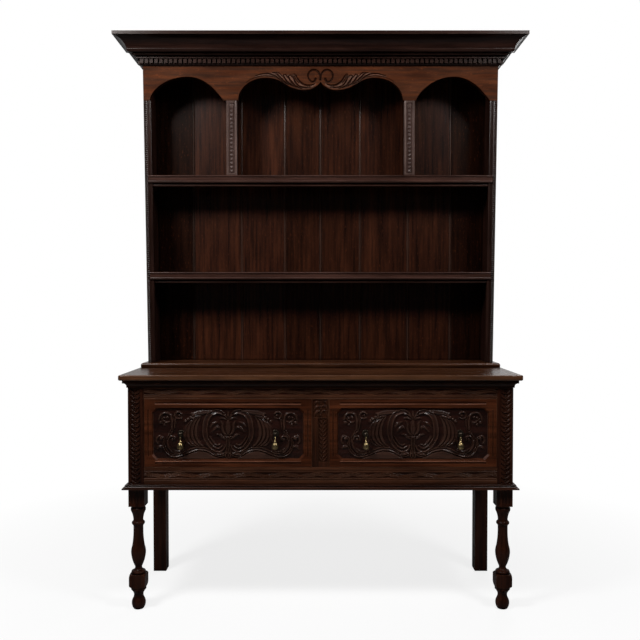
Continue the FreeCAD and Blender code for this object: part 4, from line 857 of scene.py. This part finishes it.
# Being high, the land takes the paler colour of carved tops, painted highlight included.
LAND_HEIGHT = 4.6
LAND_SLOPE, LAND_END_SLOPE = 2.5, 6.0
GROUND_RISE = 0.35
GOUGE_SIZE, GOUGE_DEPTH = 3.1, 0.22
FIELD_X = 272.3
FIELD_LOW, FIELD_HIGH = 557.7, 737.8
FIELD_FACE = -216.5
FIELD_BACKING = 1.5
RELIEF_LIMIT = 5.7
FIELD_STEP = 1.2


def drawer_relief(across, z):
    """Carving over one drawer's field, from the drawer's middle line."""
    left = -np.abs(across)
    relief = np.maximum(carve(left, z, DRAWER_STROKES), pearls(left, z, DRAWER_PEARLS))
    ground = GROUND_RISE + toolmarks(across, z, GOUGE_SIZE, GOUGE_DEPTH)
    foot = np.array(WAVE_STROKES[0][3])[::-1]
    below = np.clip((np.interp(left, foot[:, 0], foot[:, 1]) - LAND_GAP - z) / LAND_SLOPE, 0.0, 1.0)
    below *= np.clip((LAND_HALF - np.abs(left - LAND_MIDDLE)) / LAND_END_SLOPE, 0.0, 1.0)
    ground = np.maximum(ground, LAND_HEIGHT * below)
    return np.minimum(np.maximum(relief, ground), RELIEF_LIMIT)


half_x, half_z = flat_grid(-FIELD_X, FIELD_X, FIELD_LOW, FIELD_HIGH, FIELD_STEP, FIELD_STEP)
relief = drawer_relief(half_x, half_z)
for side in ("left", "right"):
    low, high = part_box(side + "_drawer_front")
    middle = (low.x + high.x) / 2 / MM
    points, faces = board_mesh(half_x + middle, half_z, FIELD_FACE - relief, FIELD_FACE + FIELD_BACKING)
    new_piece(side + "_drawer_carving", points, faces, side + "_drawer", "carved")
print("carving stands up to", round(float(relief.max()), 2), "mm above its field")

# %% [markdown]
# ## Bead along the edges of the drawer fronts
# Each drawer front has a groove near its four edges that stops short of the corners. Beside the long
# grooves stands a small bead, which is what one sees from afar as a thin line; its oak is painted much paler
# than the front, a painted highlight. The grooves are already in the frame, so only the beads are made here,
# each a low half-round strip that sinks away at its ends.

# %% Drawer beads
BEAD_INSET, BEAD_STOP = 19.4, 38.0
BEAD_REACH, BEAD_FOOT, BEAD_RISE = 2.5, 0.4, 1.6
BEAD_END, BEAD_BACKING = 3.0, 0.6
FRONT_FACE = -222.5

for side in ("left", "right"):
    low, high = [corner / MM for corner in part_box(side + "_drawer_front")]
    start, stop = low.x + BEAD_STOP, high.x - BEAD_STOP
    for part, place in (("lower", low.z + BEAD_INSET), ("upper", high.z - BEAD_INSET)):
        run = [start, start + BEAD_END, stop - BEAD_END, stop]
        x, across = np.meshgrid(run, np.linspace(-BEAD_REACH, BEAD_REACH, 13))
        rise = BEAD_RISE * np.sqrt(1.0 - (across / BEAD_REACH) ** 2) * np.array([0.0, 1.0, 1.0, 0.0])
        foot = FRONT_FACE + BEAD_FOOT
        points, faces = board_mesh(x, place + across, foot - rise, foot + BEAD_BACKING)
        name = side + "_drawer_" + part + "_bead"
        new_piece(name, points, faces, side + "_drawer", "bead")

# %% [markdown]
# ## Rails
# The two long rails carry the same running ornament: a ribbon of three close lines that rises and falls
# along a sunk band, with short arcs filling its bends, and a bead on each side of the band. The carver
# would have cut the band with a gouge and left the beads standing. The heights here are all below the face,
# so the rail keeps its size.

# %% Rail relief
RAIL_BACK = -197.5
WAVE_PITCH = 125.5
WAVE_CREST = -9.0
WAVE_RISE = 5.6
BAND_DEPTH = 2.4
LINE_GAP, LINE_HALF, LINE_HEIGHT = 4.0, 1.75, 2.1
ARC_HALF, ARC_HEIGHT = 1.5, 1.7
ARC_AWAY, ARC_BEND = 6.5, 5.5
BEAD_SINK, BEAD_MARGIN = 1.5, 1.6


def ridge(across, half, height):
    """A rounded ridge about zero."""
    return height * np.sqrt(np.clip(1.0 - (across / half) ** 2, 0.0, 1.0))


def running_wave(x, z, middle):
    """Three close lines that rise and fall along a band, with short arcs in their bends."""
    turn = 2.0 * np.pi * (x - WAVE_CREST) / WAVE_PITCH
    level = np.cos(turn)
    slope = np.sqrt(1.0 + (WAVE_RISE * 2.0 * np.pi / WAVE_PITCH * np.sin(turn)) ** 2)
    raised = np.zeros(x.shape)
    for shift in (-LINE_GAP, 0.0, LINE_GAP):
        away = (z - middle - shift - WAVE_RISE * level) / slope
        raised = np.maximum(raised, ridge(away, LINE_HALF, LINE_HEIGHT))
    for side in (1.0, -1.0):
        arc = middle - side * (ARC_AWAY - ARC_BEND * np.clip(side * level, 0.0, 1.0) ** 2)
        inside = np.clip(side * level * 2.2, 0.0, 1.0)
        raised = np.maximum(raised, ridge(z - arc, ARC_HALF, ARC_HEIGHT) * inside)
    return raised


def groove_between(z, low, high, depth, lip=0.9):
    """How deep a sunk band is: level floor and short slopes at its edges."""
    inside = np.minimum(z - low, high - z)
    return -depth * np.clip(inside / lip, 0.0, 1.0)


def rail_relief(x, z, band_low, band_high, beads):
    """Height of a rail's face: a sunk wave band between beads."""
    height = groove_between(z, band_low, band_high, BAND_DEPTH)
    wave = running_wave(x, z, (band_low + band_high) / 2)
    height = np.where(height < 0.0, np.minimum(height + wave, 0.0), height)
    for low, high in beads:
        around = groove_between(z, low - BEAD_MARGIN, high + BEAD_MARGIN, BEAD_SINK, 1.4)
        bead = ridge(z - (low + high) / 2, (high - low) / 2, BEAD_SINK)
        height = np.minimum(height, np.minimum(around + bead, 0.0))
    return height


def rail_rows(*stretches):
    """Heights of the grid rows: a fine or coarse step over each stretch."""
    parts = [np.arange(low, high, step) for low, high, step in stretches]
    return np.concatenate([*parts, [stretches[-1][1]]])


print("rail ornament repeats every", WAVE_PITCH, "mm")

# %% Carved rails
RAILS = {
    "top": {"rows": ((776.0, 814.0, 1.05), (814.0, 843.0, 14.5)), "band": (789.0, 811.5),
            "beads": [(778.5, 785.0)]},
    "bottom": {"rows": ((447.0, 465.0, 9.0), (465.0, 525.5, 1.05)), "band": (486.0, 505.5),
               "beads": [(479.5, 485.0), (506.5, 512.0)]},
}
RAIL_HALF = 640.5

across = np.linspace(-RAIL_HALF, RAIL_HALF, 900)
for name, rail in RAILS.items():
    x, z = np.meshgrid(across, rail_rows(*rail["rows"]))
    height = rail_relief(x, z, *rail["band"], rail["beads"])
    points, faces = board_mesh(x, z, FRONT_FACE - height, RAIL_BACK)
    new_piece("carved_" + name + "_rail", points, faces, "root", "rail", (name + "_front_rail",))

# %% [markdown]
# ## Centre muntin
# The upright between the drawers has a head of leaves and, below it, a sunk strip with a chain of husks.
# The strip is off centre, with a plain worn border on its left.

# %% Carved muntin
MUNTIN_STRIP = (-8.0, 26.0)
MUNTIN_FOOT, MUNTIN_HEAD = 545.0, 704.0
MUNTIN_HALF, MUNTIN_LOW, MUNTIN_HIGH = 30.5, 525.5, 776.0
HEAD_HALF, HEAD_LOW, HEAD_HIGH = 28.0, MUNTIN_HEAD + 2.0, 773.0
MUNTIN_DEPTH = 3.0
HUSK_PITCH, HUSK_COUNT = 15.2, 10

MUNTIN_STROKES = []
husk_middle = sum(MUNTIN_STRIP) / 2
for i in range(HUSK_COUNT):
    foot = MUNTIN_FOOT + 3.0 + i * HUSK_PITCH
    for side in (-1.0, 1.0):
        MUNTIN_STROKES.append(("leaf", 2.9, (2.0, 3.6, 1.5), [
            (husk_middle, foot), (husk_middle + side * 7.0, foot + 5.0),
            (husk_middle + side * 14.0, foot + 15.0)]))
    MUNTIN_STROKES.append(("stem", 2.7, (1.6, 2.4, 1.2), [(husk_middle, foot + 7), (husk_middle, foot + 14)]))
MUNTIN_STROKES += [
    ("leaf", 3.0, (2.0, 4.5, 2.0), [(-24, 708), (-18, 722), (-6, 730), (4, 722)]),
    ("leaf", 3.0, (2.0, 4.5, 2.0), [(26, 708), (22, 722), (12, 732), (2, 728)]),
    ("leaf", 3.0, (2.0, 4.5, 2.0), [(-25, 732), (-16, 744), (-4, 748), (4, 741)]),
    ("leaf", 3.0, (2.0, 4.5, 2.0), [(26, 730), (20, 745), (9, 750), (2, 744)]),
    ("leaf", 2.8, (1.5, 4.0, 1.5), [(-24, 752), (-14, 763), (-2, 764)]),
    ("leaf", 2.8, (1.5, 4.0, 1.5), [(25, 752), (17, 764), (6, 767)]),
    ("stem", 3.0, (3.0, 4.6, 3.0), [(1, 712), (1, 716)]),
    ("stem", 3.0, (2.6, 4.0, 2.6), [(2, 735), (2, 738)]),
    ("stem", 2.8, (2.0, 3.4, 2.0), [(2, 756), (2, 759)]),
]
x, z = flat_grid(-MUNTIN_HALF, MUNTIN_HALF, MUNTIN_LOW, MUNTIN_HIGH, 1.0, 1.0)
strip = np.minimum(np.minimum(x - MUNTIN_STRIP[0], MUNTIN_STRIP[1] - x), z - MUNTIN_FOOT)
strip = np.minimum(strip, MUNTIN_HEAD - z)
head = np.minimum(np.minimum(x + HEAD_HALF, HEAD_HALF - x), np.minimum(z - HEAD_LOW, HEAD_HIGH - z))
ground = -MUNTIN_DEPTH * np.clip(np.maximum(strip, head), 0.0, 1.0)
height = np.where(ground < 0.0, np.minimum(ground + carve(x, z, MUNTIN_STROKES), 0.0), 0.0)
points, faces = board_mesh(x, z, FRONT_FACE - height, RAIL_BACK)
new_piece("carved_muntin", points, faces, "root", "muntin", ("centre_muntin",))

# %% [markdown]
# ## Front legs
# A front leg is one post. Its upper part stays square to hold the joints and carries a chain of cup-shaped
# leaves. Below the frame it is turned, with a square block left near the foot, where a stretcher would go.
# One closed surface makes all of it: each level is a ring, and the ring is a square, a circle or the
# overlap of both.

# %% Front leg profile
POST_HALF = 29.0
POST_CENTRE = (669.5, -193.5)
BALL_TOP, BARREL_TOP, BLOCK_FOOT, POST_TOP = 81.0, 130.0, 381.0, 843.0
SQUARE_REACH = 60.0
CARVED_FROM, CARVED_TO = 449.0, 818.0


def arc_through(a, b, c, steps=9):
    """Points of the arc from a to c that passes through b."""
    (ax, ay), (bx, by), (cx, cy) = a, b, c
    d = 2.0 * (ax * (by - cy) + bx * (cy - ay) + cx * (ay - by))
    ux = ((ax**2 + ay**2) * (by - cy) + (bx**2 + by**2) * (cy - ay) + (cx**2 + cy**2) * (ay - by)) / d
    uy = ((ax**2 + ay**2) * (cx - bx) + (bx**2 + by**2) * (ax - cx) + (cx**2 + cy**2) * (bx - ax)) / d
    radius = math.hypot(ax - ux, ay - uy)
    start, middle, stop = [math.atan2(p[1] - uy, p[0] - ux) for p in (a, b, c)]
    full = 2.0 * math.pi
    sweep = (stop - start) % full
    if (middle - start) % full > sweep:
        sweep -= full
    turns = [start + sweep * i / steps for i in range(1, steps + 1)]
    return [(ux + radius * math.cos(t), uy + radius * math.sin(t)) for t in turns]


def turned_levels(table, foot, height):
    """(radius, level) pairs from shares: one pair for a straight stretch, two for an arc."""
    levels = []
    for step in table:
        places = [(r * POST_HALF, foot + h * height) for r, h in step]
        levels += arc_through(levels[-1], *places) if len(places) == 2 else places
    return levels


SHAFT = [((0.80, 0.0),), ((0.90, 0.022), (0.80, 0.044)), ((0.70, 0.048),), ((0.49, 0.068), (0.44, 0.104)),
         ((0.77, 0.203), (0.92, 0.303)), ((0.90, 0.35), (0.79, 0.402)), ((0.67, 0.50), (0.615, 0.60)),
         ((0.61, 0.69),), ((0.66, 0.715),), ((0.82, 0.743), (0.66, 0.771)), ((0.61, 0.785),),
         ((0.70, 0.86), (0.93, 0.928)), ((0.93, 0.95),), ((0.89, 0.967), (0.80, 0.972)), ((0.80, 1.0),)]
FOOT = [((0.62, 0.0),), ((0.87, 0.26), (0.68, 0.50)), ((0.595, 0.605), (0.62, 0.71)),
        ((0.755, 0.80), (0.95, 0.885)), ((0.95, 1.0),)]
BARREL = [((0.93, 0.0),), ((1.25, 0.06), (1.45, 0.24)), ((1.45, 0.78),), ((1.25, 0.95), (0.93, 1.0))]

levels = turned_levels(FOOT, 0.0, BALL_TOP)
levels += turned_levels(BARREL, BALL_TOP, BARREL_TOP - BALL_TOP)
levels += turned_levels(SHAFT, BARREL_TOP, BLOCK_FOOT - BARREL_TOP)
levels += [(SQUARE_REACH, level) for level in np.arange(BLOCK_FOOT, CARVED_FROM - 1.0, 1.5)]
levels += [(SQUARE_REACH, level) for level in np.arange(CARVED_FROM, CARVED_TO, 1.15)]
levels += [(SQUARE_REACH, POST_TOP)]
print("leg levels", len(levels))

# %% Carved front legs
CUP_STRIP = (-20.5, 14.5)
CUP_LOW, CUP_HIGH, CUP_DEPTH = 466.0, 812.0, 3.2
CUP_PITCH, CUP_COUNT = 17.2, 20
FLUTE_PLACES = (-18.0, -6.0, 6.0, 18.0)
FLUTE_LOW, FLUTE_HIGH = 388.0, 440.0

cup_middle = sum(CUP_STRIP) / 2
CUP_STROKES = []
for i in range(CUP_COUNT):
    foot = CUP_LOW + 1.0 + i * CUP_PITCH
    for side in (-1.0, 1.0):
        CUP_STROKES.append(("leaf", 3.2, (2.6, 4.4, 4.2, 1.4), [
            (cup_middle, foot), (cup_middle + side * 7, foot + 1.5), (cup_middle + side * 13, foot + 7),
            (cup_middle + side * 16.5, foot + 16)]))
    CUP_STROKES.append(("stem", 3.0, (1.4, 2.8, 1.2), [(cup_middle, foot + 6), (cup_middle, foot + 13)]))


def post_relief(x, z):
    """Depth of the carving on a post's front face, with the wider border on the positive side."""
    strip = np.minimum(np.minimum(x - CUP_STRIP[0], CUP_STRIP[1] - x), np.minimum(z - CUP_LOW, CUP_HIGH - z))
    ground = -CUP_DEPTH * np.clip(strip / 1.1, 0.0, 1.0)
    height = np.where(ground < 0.0, np.minimum(ground + carve(x, z, CUP_STROKES), 0.0), 0.0)
    flutes = np.zeros(x.shape)
    for place in FLUTE_PLACES:
        ends = np.clip(np.minimum(z - FLUTE_LOW, FLUTE_HIGH - z) / 5.0, 0.0, 1.0)
        flutes = np.maximum(flutes, ridge(x - place, 4.2, 2.0) * np.sqrt(ends))
    return height - flutes


front_run = np.linspace(-POST_HALF, POST_HALF, 52)
side_run = np.linspace(-POST_HALF, POST_HALF, 17)
ring = [(u, -POST_HALF) for u in front_run[:-1]] + [(POST_HALF, u) for u in side_run[:-1]]
ring += [(-u, POST_HALF) for u in side_run[:-1]] + [(-POST_HALF, -u) for u in side_run[:-1]]
ring = np.array(ring)
reach = np.hypot(ring[:, 0], ring[:, 1])
for side, sign in (("left", 1.0), ("right", -1.0)):
    rows = []
    for radius, level in levels:
        share = np.minimum(radius / reach, 1.0)
        row = np.column_stack([ring * share[:, None], np.full(len(ring), level)])
        rows.append(row)
    leg = np.array(rows)
    on_front = (np.abs(leg[:, :, 1] + POST_HALF) < 0.01) & (leg[:, :, 2] > BLOCK_FOOT)
    depth = post_relief(sign * leg[:, :, 0], leg[:, :, 2])
    leg[:, :, 1] -= np.where(on_front, depth, 0.0)
    leg[:, :, 0] += -sign * POST_CENTRE[0]
    leg[:, :, 1] += POST_CENTRE[1]
    count = len(ring)
    index = np.arange(leg.shape[0] * count).reshape(leg.shape[0], count)
    after = np.roll(index, -1, axis=1)
    quads = np.stack([index[:-1], after[:-1], after[1:], index[1:]], axis=-1).reshape(-1, 4).tolist()
    faces = quads + [index[0, ::-1].tolist(), index[-1].tolist()]
    new_piece(side + "_carved_leg", leg.reshape(-1, 3), faces, "root", "leg",
              (side + "_front_leg",))

# %% [markdown]
# ## Uprights of the rack
# Each outer upright leans out by a few millimetres towards the top. It has a notched strip along its outer
# edge, a hollow beside it, and a bead along the opening. The inner pilasters have a sunk strip between two
# fillets, with a row of pellets and a small rosette at the top.

# %% Rack uprights
RACK_FRONT, RACK_BACK = 97.0, 117.0
STILE_FOOT, STILE_TOP = 881.0, 1934.0
FOOT_HALF, TOP_HALF = 696.7, 710.9
NOTCH_PITCH, NOTCH_DEPTH = 8.2, 2.2
NOTCH_FROM, NOTCH_TO = 1.5, 11.5
HOLLOW_PLACE, HOLLOW_HALF, HOLLOW_DEPTH = 16.5, 3.6, 2.6
BEAD_FROM, BEAD_PLACE, BEAD_HALF, BEAD_HEIGHT = 20.5, 24.75, 4.4, 2.0


def rack_half(z):
    """Half width of the rack at a height."""
    return FOOT_HALF + (z - STILE_FOOT) * (TOP_HALF - FOOT_HALF) / (STILE_TOP - STILE_FOOT)


def stile_relief(inset, z):
    """Height of an upright's face, from its outer edge inwards."""
    beat = np.abs(np.sin(np.pi * z / NOTCH_PITCH))
    strip = np.clip(np.minimum(inset - NOTCH_FROM, NOTCH_TO - inset) / 1.2, 0.0, 1.0)
    notch = -NOTCH_DEPTH * strip * (1.0 - beat ** 0.8)
    hollow = -ridge(inset - HOLLOW_PLACE, HOLLOW_HALF, HOLLOW_DEPTH)
    bead = ridge(inset - BEAD_PLACE, BEAD_HALF, BEAD_HEIGHT) - BEAD_HEIGHT
    bead = np.where(inset > BEAD_FROM, bead, 0.0)
    return np.minimum(np.minimum(notch, hollow), bead)


inset = np.concatenate([np.linspace(0.0, 12.0, 9), np.linspace(13.0, 20.5, 9), np.linspace(21.0, 29.0, 9)])
inset, z = np.meshgrid(inset, np.linspace(STILE_FOOT, STILE_TOP, 900))
height = stile_relief(inset, z)
points, faces = board_mesh(-rack_half(z) + inset, z, RACK_FRONT - height, RACK_BACK)
new_piece("left_carved_stile", points, faces, "root", "stile", ("left_stile",))
points[:, 0] *= -1.0
faces = [face[::-1] for face in faces]
new_piece("right_carved_stile", points, faces, "root", "stile", ("right_stile",))

# %% Carved pilasters
PILASTER_PLACE, PILASTER_HALF = 357.0, 21.0
PILASTER_FOOT, PILASTER_TOP = 1636.0, 1934.0
STRIP_HALF, STRIP_LOW, STRIP_HIGH = 12.0, 1644.0, 1926.0
PELLET_PITCH, PELLET_RADIUS, PELLET_HEIGHT = 16.0, 5.6, 2.4
PELLET_START, PELLET_STOP = 1652.0, 1902.0
ROSETTE_PLACE = 1914.0


def pilaster_relief(x, z):
    """Height of a pilaster's face."""
    sunk = np.minimum(STRIP_HALF - np.abs(x), np.minimum(z - STRIP_LOW, STRIP_HIGH - z))
    ground = -2.6 * np.clip(sunk / 0.8, 0.0, 1.0)
    beat = (z - PELLET_START) / PELLET_PITCH
    along = (beat - np.round(beat)) * PELLET_PITCH
    away = np.hypot(x, along)
    pellet = np.where(z < PELLET_STOP, ridge(away, PELLET_RADIUS, PELLET_HEIGHT), 0.0)
    between = (beat - np.floor(beat) - 0.5) * PELLET_PITCH
    hole = np.where(z < PELLET_STOP, -1.6 * np.clip(1.0 - np.hypot(x, between) / 2.0, 0.0, 1.0), 0.0)
    rise = z - ROSETTE_PLACE
    petal_tip = 10.0 + 1.5 * np.cos(6.0 * np.arctan2(rise, x))
    bloom = 2.4 * np.clip((petal_tip - np.hypot(x, rise)) / 2.5, 0.0, 1.0)
    raised = np.maximum(pellet, bloom) + hole
    quirk = -0.9 * np.clip(1.0 - np.abs(np.abs(x) - 16.5) / 0.9, 0.0, 1.0)
    return np.where(ground < 0.0, np.minimum(ground + raised, 0.0), quirk)


x, z = flat_grid(-PILASTER_HALF, PILASTER_HALF, PILASTER_FOOT, PILASTER_TOP, 0.95, 1.1)
height = pilaster_relief(x, z)
for side, sign in (("left", -1.0), ("right", 1.0)):
    points, faces = board_mesh(x + sign * PILASTER_PLACE, z, RACK_FRONT - height, RACK_BACK)
    new_piece(side + "_carved_pilaster", points, faces, "root", "pilaster", (side + "_pilaster",))

# %% [markdown]
# ## Frieze
# The board over the three openings is sawn to shape and then cut with a parting tool: two volutes meet over
# the pointed middle, and a spray of leaves runs out of each along the lower edge. Its grid is ruled, each
# column going from the sawn edge up to the top, so the edge is exact and a small rounded arris can follow
# it.

# %% Frieze edge
FRIEZE_TOP = 2130.0
FRIEZE_FOOT = 1934.0
SIDE_ARCH_PLACE, SIDE_ARCH_HALF, SIDE_ARCH_RISE = 534.5, 151.5, 95.0
SIDE_ARCHES = ((-SIDE_ARCH_PLACE, 0.60), (SIDE_ARCH_PLACE, 0.75))
ARCH_FALL, ARCH_STOP = 2.15, 0.96
LOBE_FOOT, LOBE_HALF, LOBE_RISE = 331.0, 111.5, 91.0
BRACKET = (64.0, 1976.0)
CUSP = 2009.0


def side_arch(x, centre, fullness):
    """Share of an outer arch's rise: full on its left, falling away on its right."""
    over = (x - centre) / SIDE_ARCH_HALF
    full = np.clip(1.0 - over ** 2, 0.0, 1.0) ** fullness
    falling = np.clip(1.0 - (np.clip(over, 0.0, None) / ARCH_STOP) ** ARCH_FALL, 0.0, 1.0)
    return np.where(over < 0.0, full, falling)


def frieze_edge(x):
    """Height of the sawn lower edge."""
    edge = np.full(x.shape, FRIEZE_FOOT)
    for centre, fullness in SIDE_ARCHES:
        edge = np.maximum(edge, FRIEZE_FOOT + SIDE_ARCH_RISE * side_arch(x, centre, fullness))
    x = np.abs(x)
    crest_x, crest_z = LOBE_FOOT - LOBE_HALF, FRIEZE_FOOT + LOBE_RISE
    lobe = FRIEZE_FOOT + LOBE_RISE * np.sqrt(np.clip(1.0 - ((x - crest_x) / LOBE_HALF) ** 2, 0.0, 1.0))
    edge = np.where((x < LOBE_FOOT) & (x >= crest_x), lobe, edge)
    run, fall = (crest_x - BRACKET[0]) / 2, (crest_z - BRACKET[1]) / 2
    radius = (run ** 2 + fall ** 2) / (2 * fall)
    upper = crest_z - radius + np.sqrt(np.clip(radius ** 2 - (x - crest_x) ** 2, 0.0, None))
    lower = BRACKET[1] + radius - np.sqrt(np.clip(radius ** 2 - (x - BRACKET[0]) ** 2, 0.0, None))
    edge = np.where((x < crest_x) & (x >= BRACKET[0] + run), upper, edge)
    edge = np.where((x < BRACKET[0] + run) & (x >= BRACKET[0]), lower, edge)
    climb = CUSP - BRACKET[1]
    tip_radius = (BRACKET[0] ** 2 + climb ** 2) / (2 * climb)
    tip = BRACKET[1] + tip_radius - np.sqrt(tip_radius ** 2 - np.clip(BRACKET[0] - x, 0.0, None) ** 2)
    return np.where(x < BRACKET[0], tip, edge)


print("frieze edge from", FRIEZE_FOOT, "up to", FRIEZE_FOOT + SIDE_ARCH_RISE)

# %% Frieze cuts
FRIEZE_CUTS = [
    (2.6, (1.6, 2.4, 2.6, 2.4, 2.0, 2.4, 3.4), [(1.5, 2016), (2.5, 2036), (11, 2051), (27, 2057), (42, 2051),
                                               (50, 2036), (46, 2020), (35, 2010), (24, 2012), (19.5, 2021)]),
    (2.4, (1.2, 2.4, 2.6, 2.2, 1.2), [(24, 2001), (37, 1996), (56, 1996), (73, 2002), (86, 2014), (95, 2028),
                                      (100, 2037)]),
    (2.0, (1.0, 2.0, 2.2, 1.2), [(40, 1988), (66, 1987), (88, 1994), (102, 2010), (110, 2034)]),
    (2.2, (1.0, 2.2, 2.4, 1.2), [(74, 1983), (98, 1991), (117, 2008), (130, 2032)]),
    (2.2, (1.0, 2.2, 2.4, 1.2), [(96, 1988), (120, 1998), (137, 2014), (150, 2036)]),
    (2.0, (1.0, 2.0, 2.2, 1.0), [(112, 1992), (138, 2005), (158, 2022), (178, 2043), (192, 2046)]),
    (2.0, (1.0, 2.0, 2.0, 0.8), [(132, 1999), (158, 2014), (182, 2032), (205, 2041), (232, 2041),
                                 (262, 2032)]),
    (1.6, (0.8, 1.8, 0.8), [(100, 2037), (106, 2040), (110, 2034)]),
    (1.6, (0.8, 1.8, 0.8), [(112, 2026), (120, 2035), (130, 2032)]),
    (1.6, (0.8, 1.8, 0.8), [(132, 2026), (140, 2038), (150, 2036)]),
    (1.6, (0.8, 1.8, 0.8), [(153, 2030), (168, 2045), (192, 2046)]),
    (1.4, (0.8, 1.6, 0.8), [(86, 2004), (98, 2018), (104, 2034)]),
    (1.4, (0.8, 1.6, 0.8), [(106, 2002), (120, 2016), (127, 2028)]),
    (1.4, (0.8, 1.6, 0.8), [(126, 2006), (142, 2022), (150, 2032)]),
    (1.4, (0.8, 1.6, 0.8), [(144, 2012), (164, 2030), (182, 2042)]),
]
CUT_GAIN = 1.7
CUT_SPREAD = 1.75
LEAF_HEIGHT = 0.8
LEAF_RIM = ((20, 2003), (40, 1999), (60, 2001), (80, 2012), (95, 2032), (110, 2037), (150, 2038), (192, 2047),
            (230, 2042), (262, 2033))
EDGE_LINE, EDGE_LINE_HALF, EDGE_LINE_DEPTH = 7.5, 2.6, 1.8
EDGE_LINE_FROM, EDGE_LINE_TO = 170.0, 300.0
ARRIS, ARRIS_DEPTH = 2.4, 1.8


def frieze_relief(x, z, edge):
    """Height of the frieze's face: parting-tool cuts and a worn arris along the sawn edge."""
    half = np.abs(x)
    cuts = np.zeros(x.shape)
    for depth, widths, places in FRIEZE_CUTS:
        wide = [CUT_SPREAD * width for width in widths]
        cuts = np.maximum(cuts, stroke(half, z, "groove", CUT_GAIN * depth, wide, places)[0])
    rim_x, rim_z = np.array(LEAF_RIM, float).T
    spray = np.clip((np.interp(half, rim_x, rim_z) - z) / 2.0, 0.0, 1.0)
    spray *= np.clip((z - edge - 3.0) / 4.0, 0.0, 1.0)
    spray = np.where((half > rim_x[0]) & (half < rim_x[-1]), spray, 0.0)
    veins = np.sin((half * 0.75 - (z - 1980.0) * 0.55) / 2.4)
    leaves = LEAF_HEIGHT * spray * (1.0 + 0.35 * veins)
    along_edge = np.clip(1.0 - np.abs(z - edge - EDGE_LINE) / EDGE_LINE_HALF, 0.0, 1.0)
    beside_leaves = (half > EDGE_LINE_FROM) & (half < EDGE_LINE_TO)
    cuts = np.maximum(cuts, np.where(beside_leaves, EDGE_LINE_DEPTH * along_edge, 0.0))
    from_edge = 1.0 - np.clip((z - edge) / ARRIS, 0.0, 1.0)
    rounding = ARRIS_DEPTH * (1.0 - np.sqrt(np.clip(1.0 - from_edge ** 2, 0.0, 1.0)))
    return leaves * (cuts < 0.3) - cuts - rounding


print("frieze cuts", len(FRIEZE_CUTS))

# %% [markdown]
# The grid's columns stand close together where leaves are cut and where an arch springs steeply from its
# foot, and far apart over plain board. The rows share the height between the sawn edge and the line where
# the dentil course covers the board, and one more row closes the board at its top.

# %% Carved frieze
COVERED_FROM = 2074.0
CENTRE_FINE, CENTRE_COARSE = 222.0, 322.0
FRIEZE_HALF = 714.5

middle = [np.arange(0.0, CENTRE_FINE, 1.45), np.arange(CENTRE_FINE, CENTRE_COARSE, 3.0),
          LOBE_FOOT - np.linspace(3.0, 0.0, 8) ** 2, np.linspace(334.0, 376.0, 6)]
middle = np.unique(np.concatenate(middle))
near_foot = np.linspace(0.0, 3.6, 9) ** 2
columns = [-middle, middle, np.linspace(694.0, FRIEZE_HALF, 6), -np.linspace(690.0, FRIEZE_HALF, 7)]
for centre, fullness in SIDE_ARCHES:
    left_foot = centre - SIDE_ARCH_HALF
    right_foot = centre + SIDE_ARCH_HALF * ARCH_STOP
    columns += [left_foot + near_foot, right_foot - near_foot]
    columns += [np.arange(left_foot + 16.0, right_foot - 14.0, 3.4)]
columns = np.unique(np.round(np.concatenate(columns), 3))
rise = np.concatenate([[0.0, 0.006, 0.014, 0.024], np.linspace(0.04, 1.0, 58)])
x, share = np.meshgrid(columns, rise)
edge = frieze_edge(x)
z = edge + (COVERED_FROM - edge) * share
x = np.vstack([x, x[-1:]])
z = np.vstack([z, np.full((1, len(columns)), FRIEZE_TOP)])
edge = np.vstack([edge, edge[-1:]])
height = frieze_relief(x, z, edge)
x = np.clip(x, -rack_half(z), rack_half(z))
points, faces = board_mesh(x, z, RACK_FRONT - height, RACK_BACK)
new_piece("carved_frieze", points, faces, "root", "frieze", ("frieze_board",))
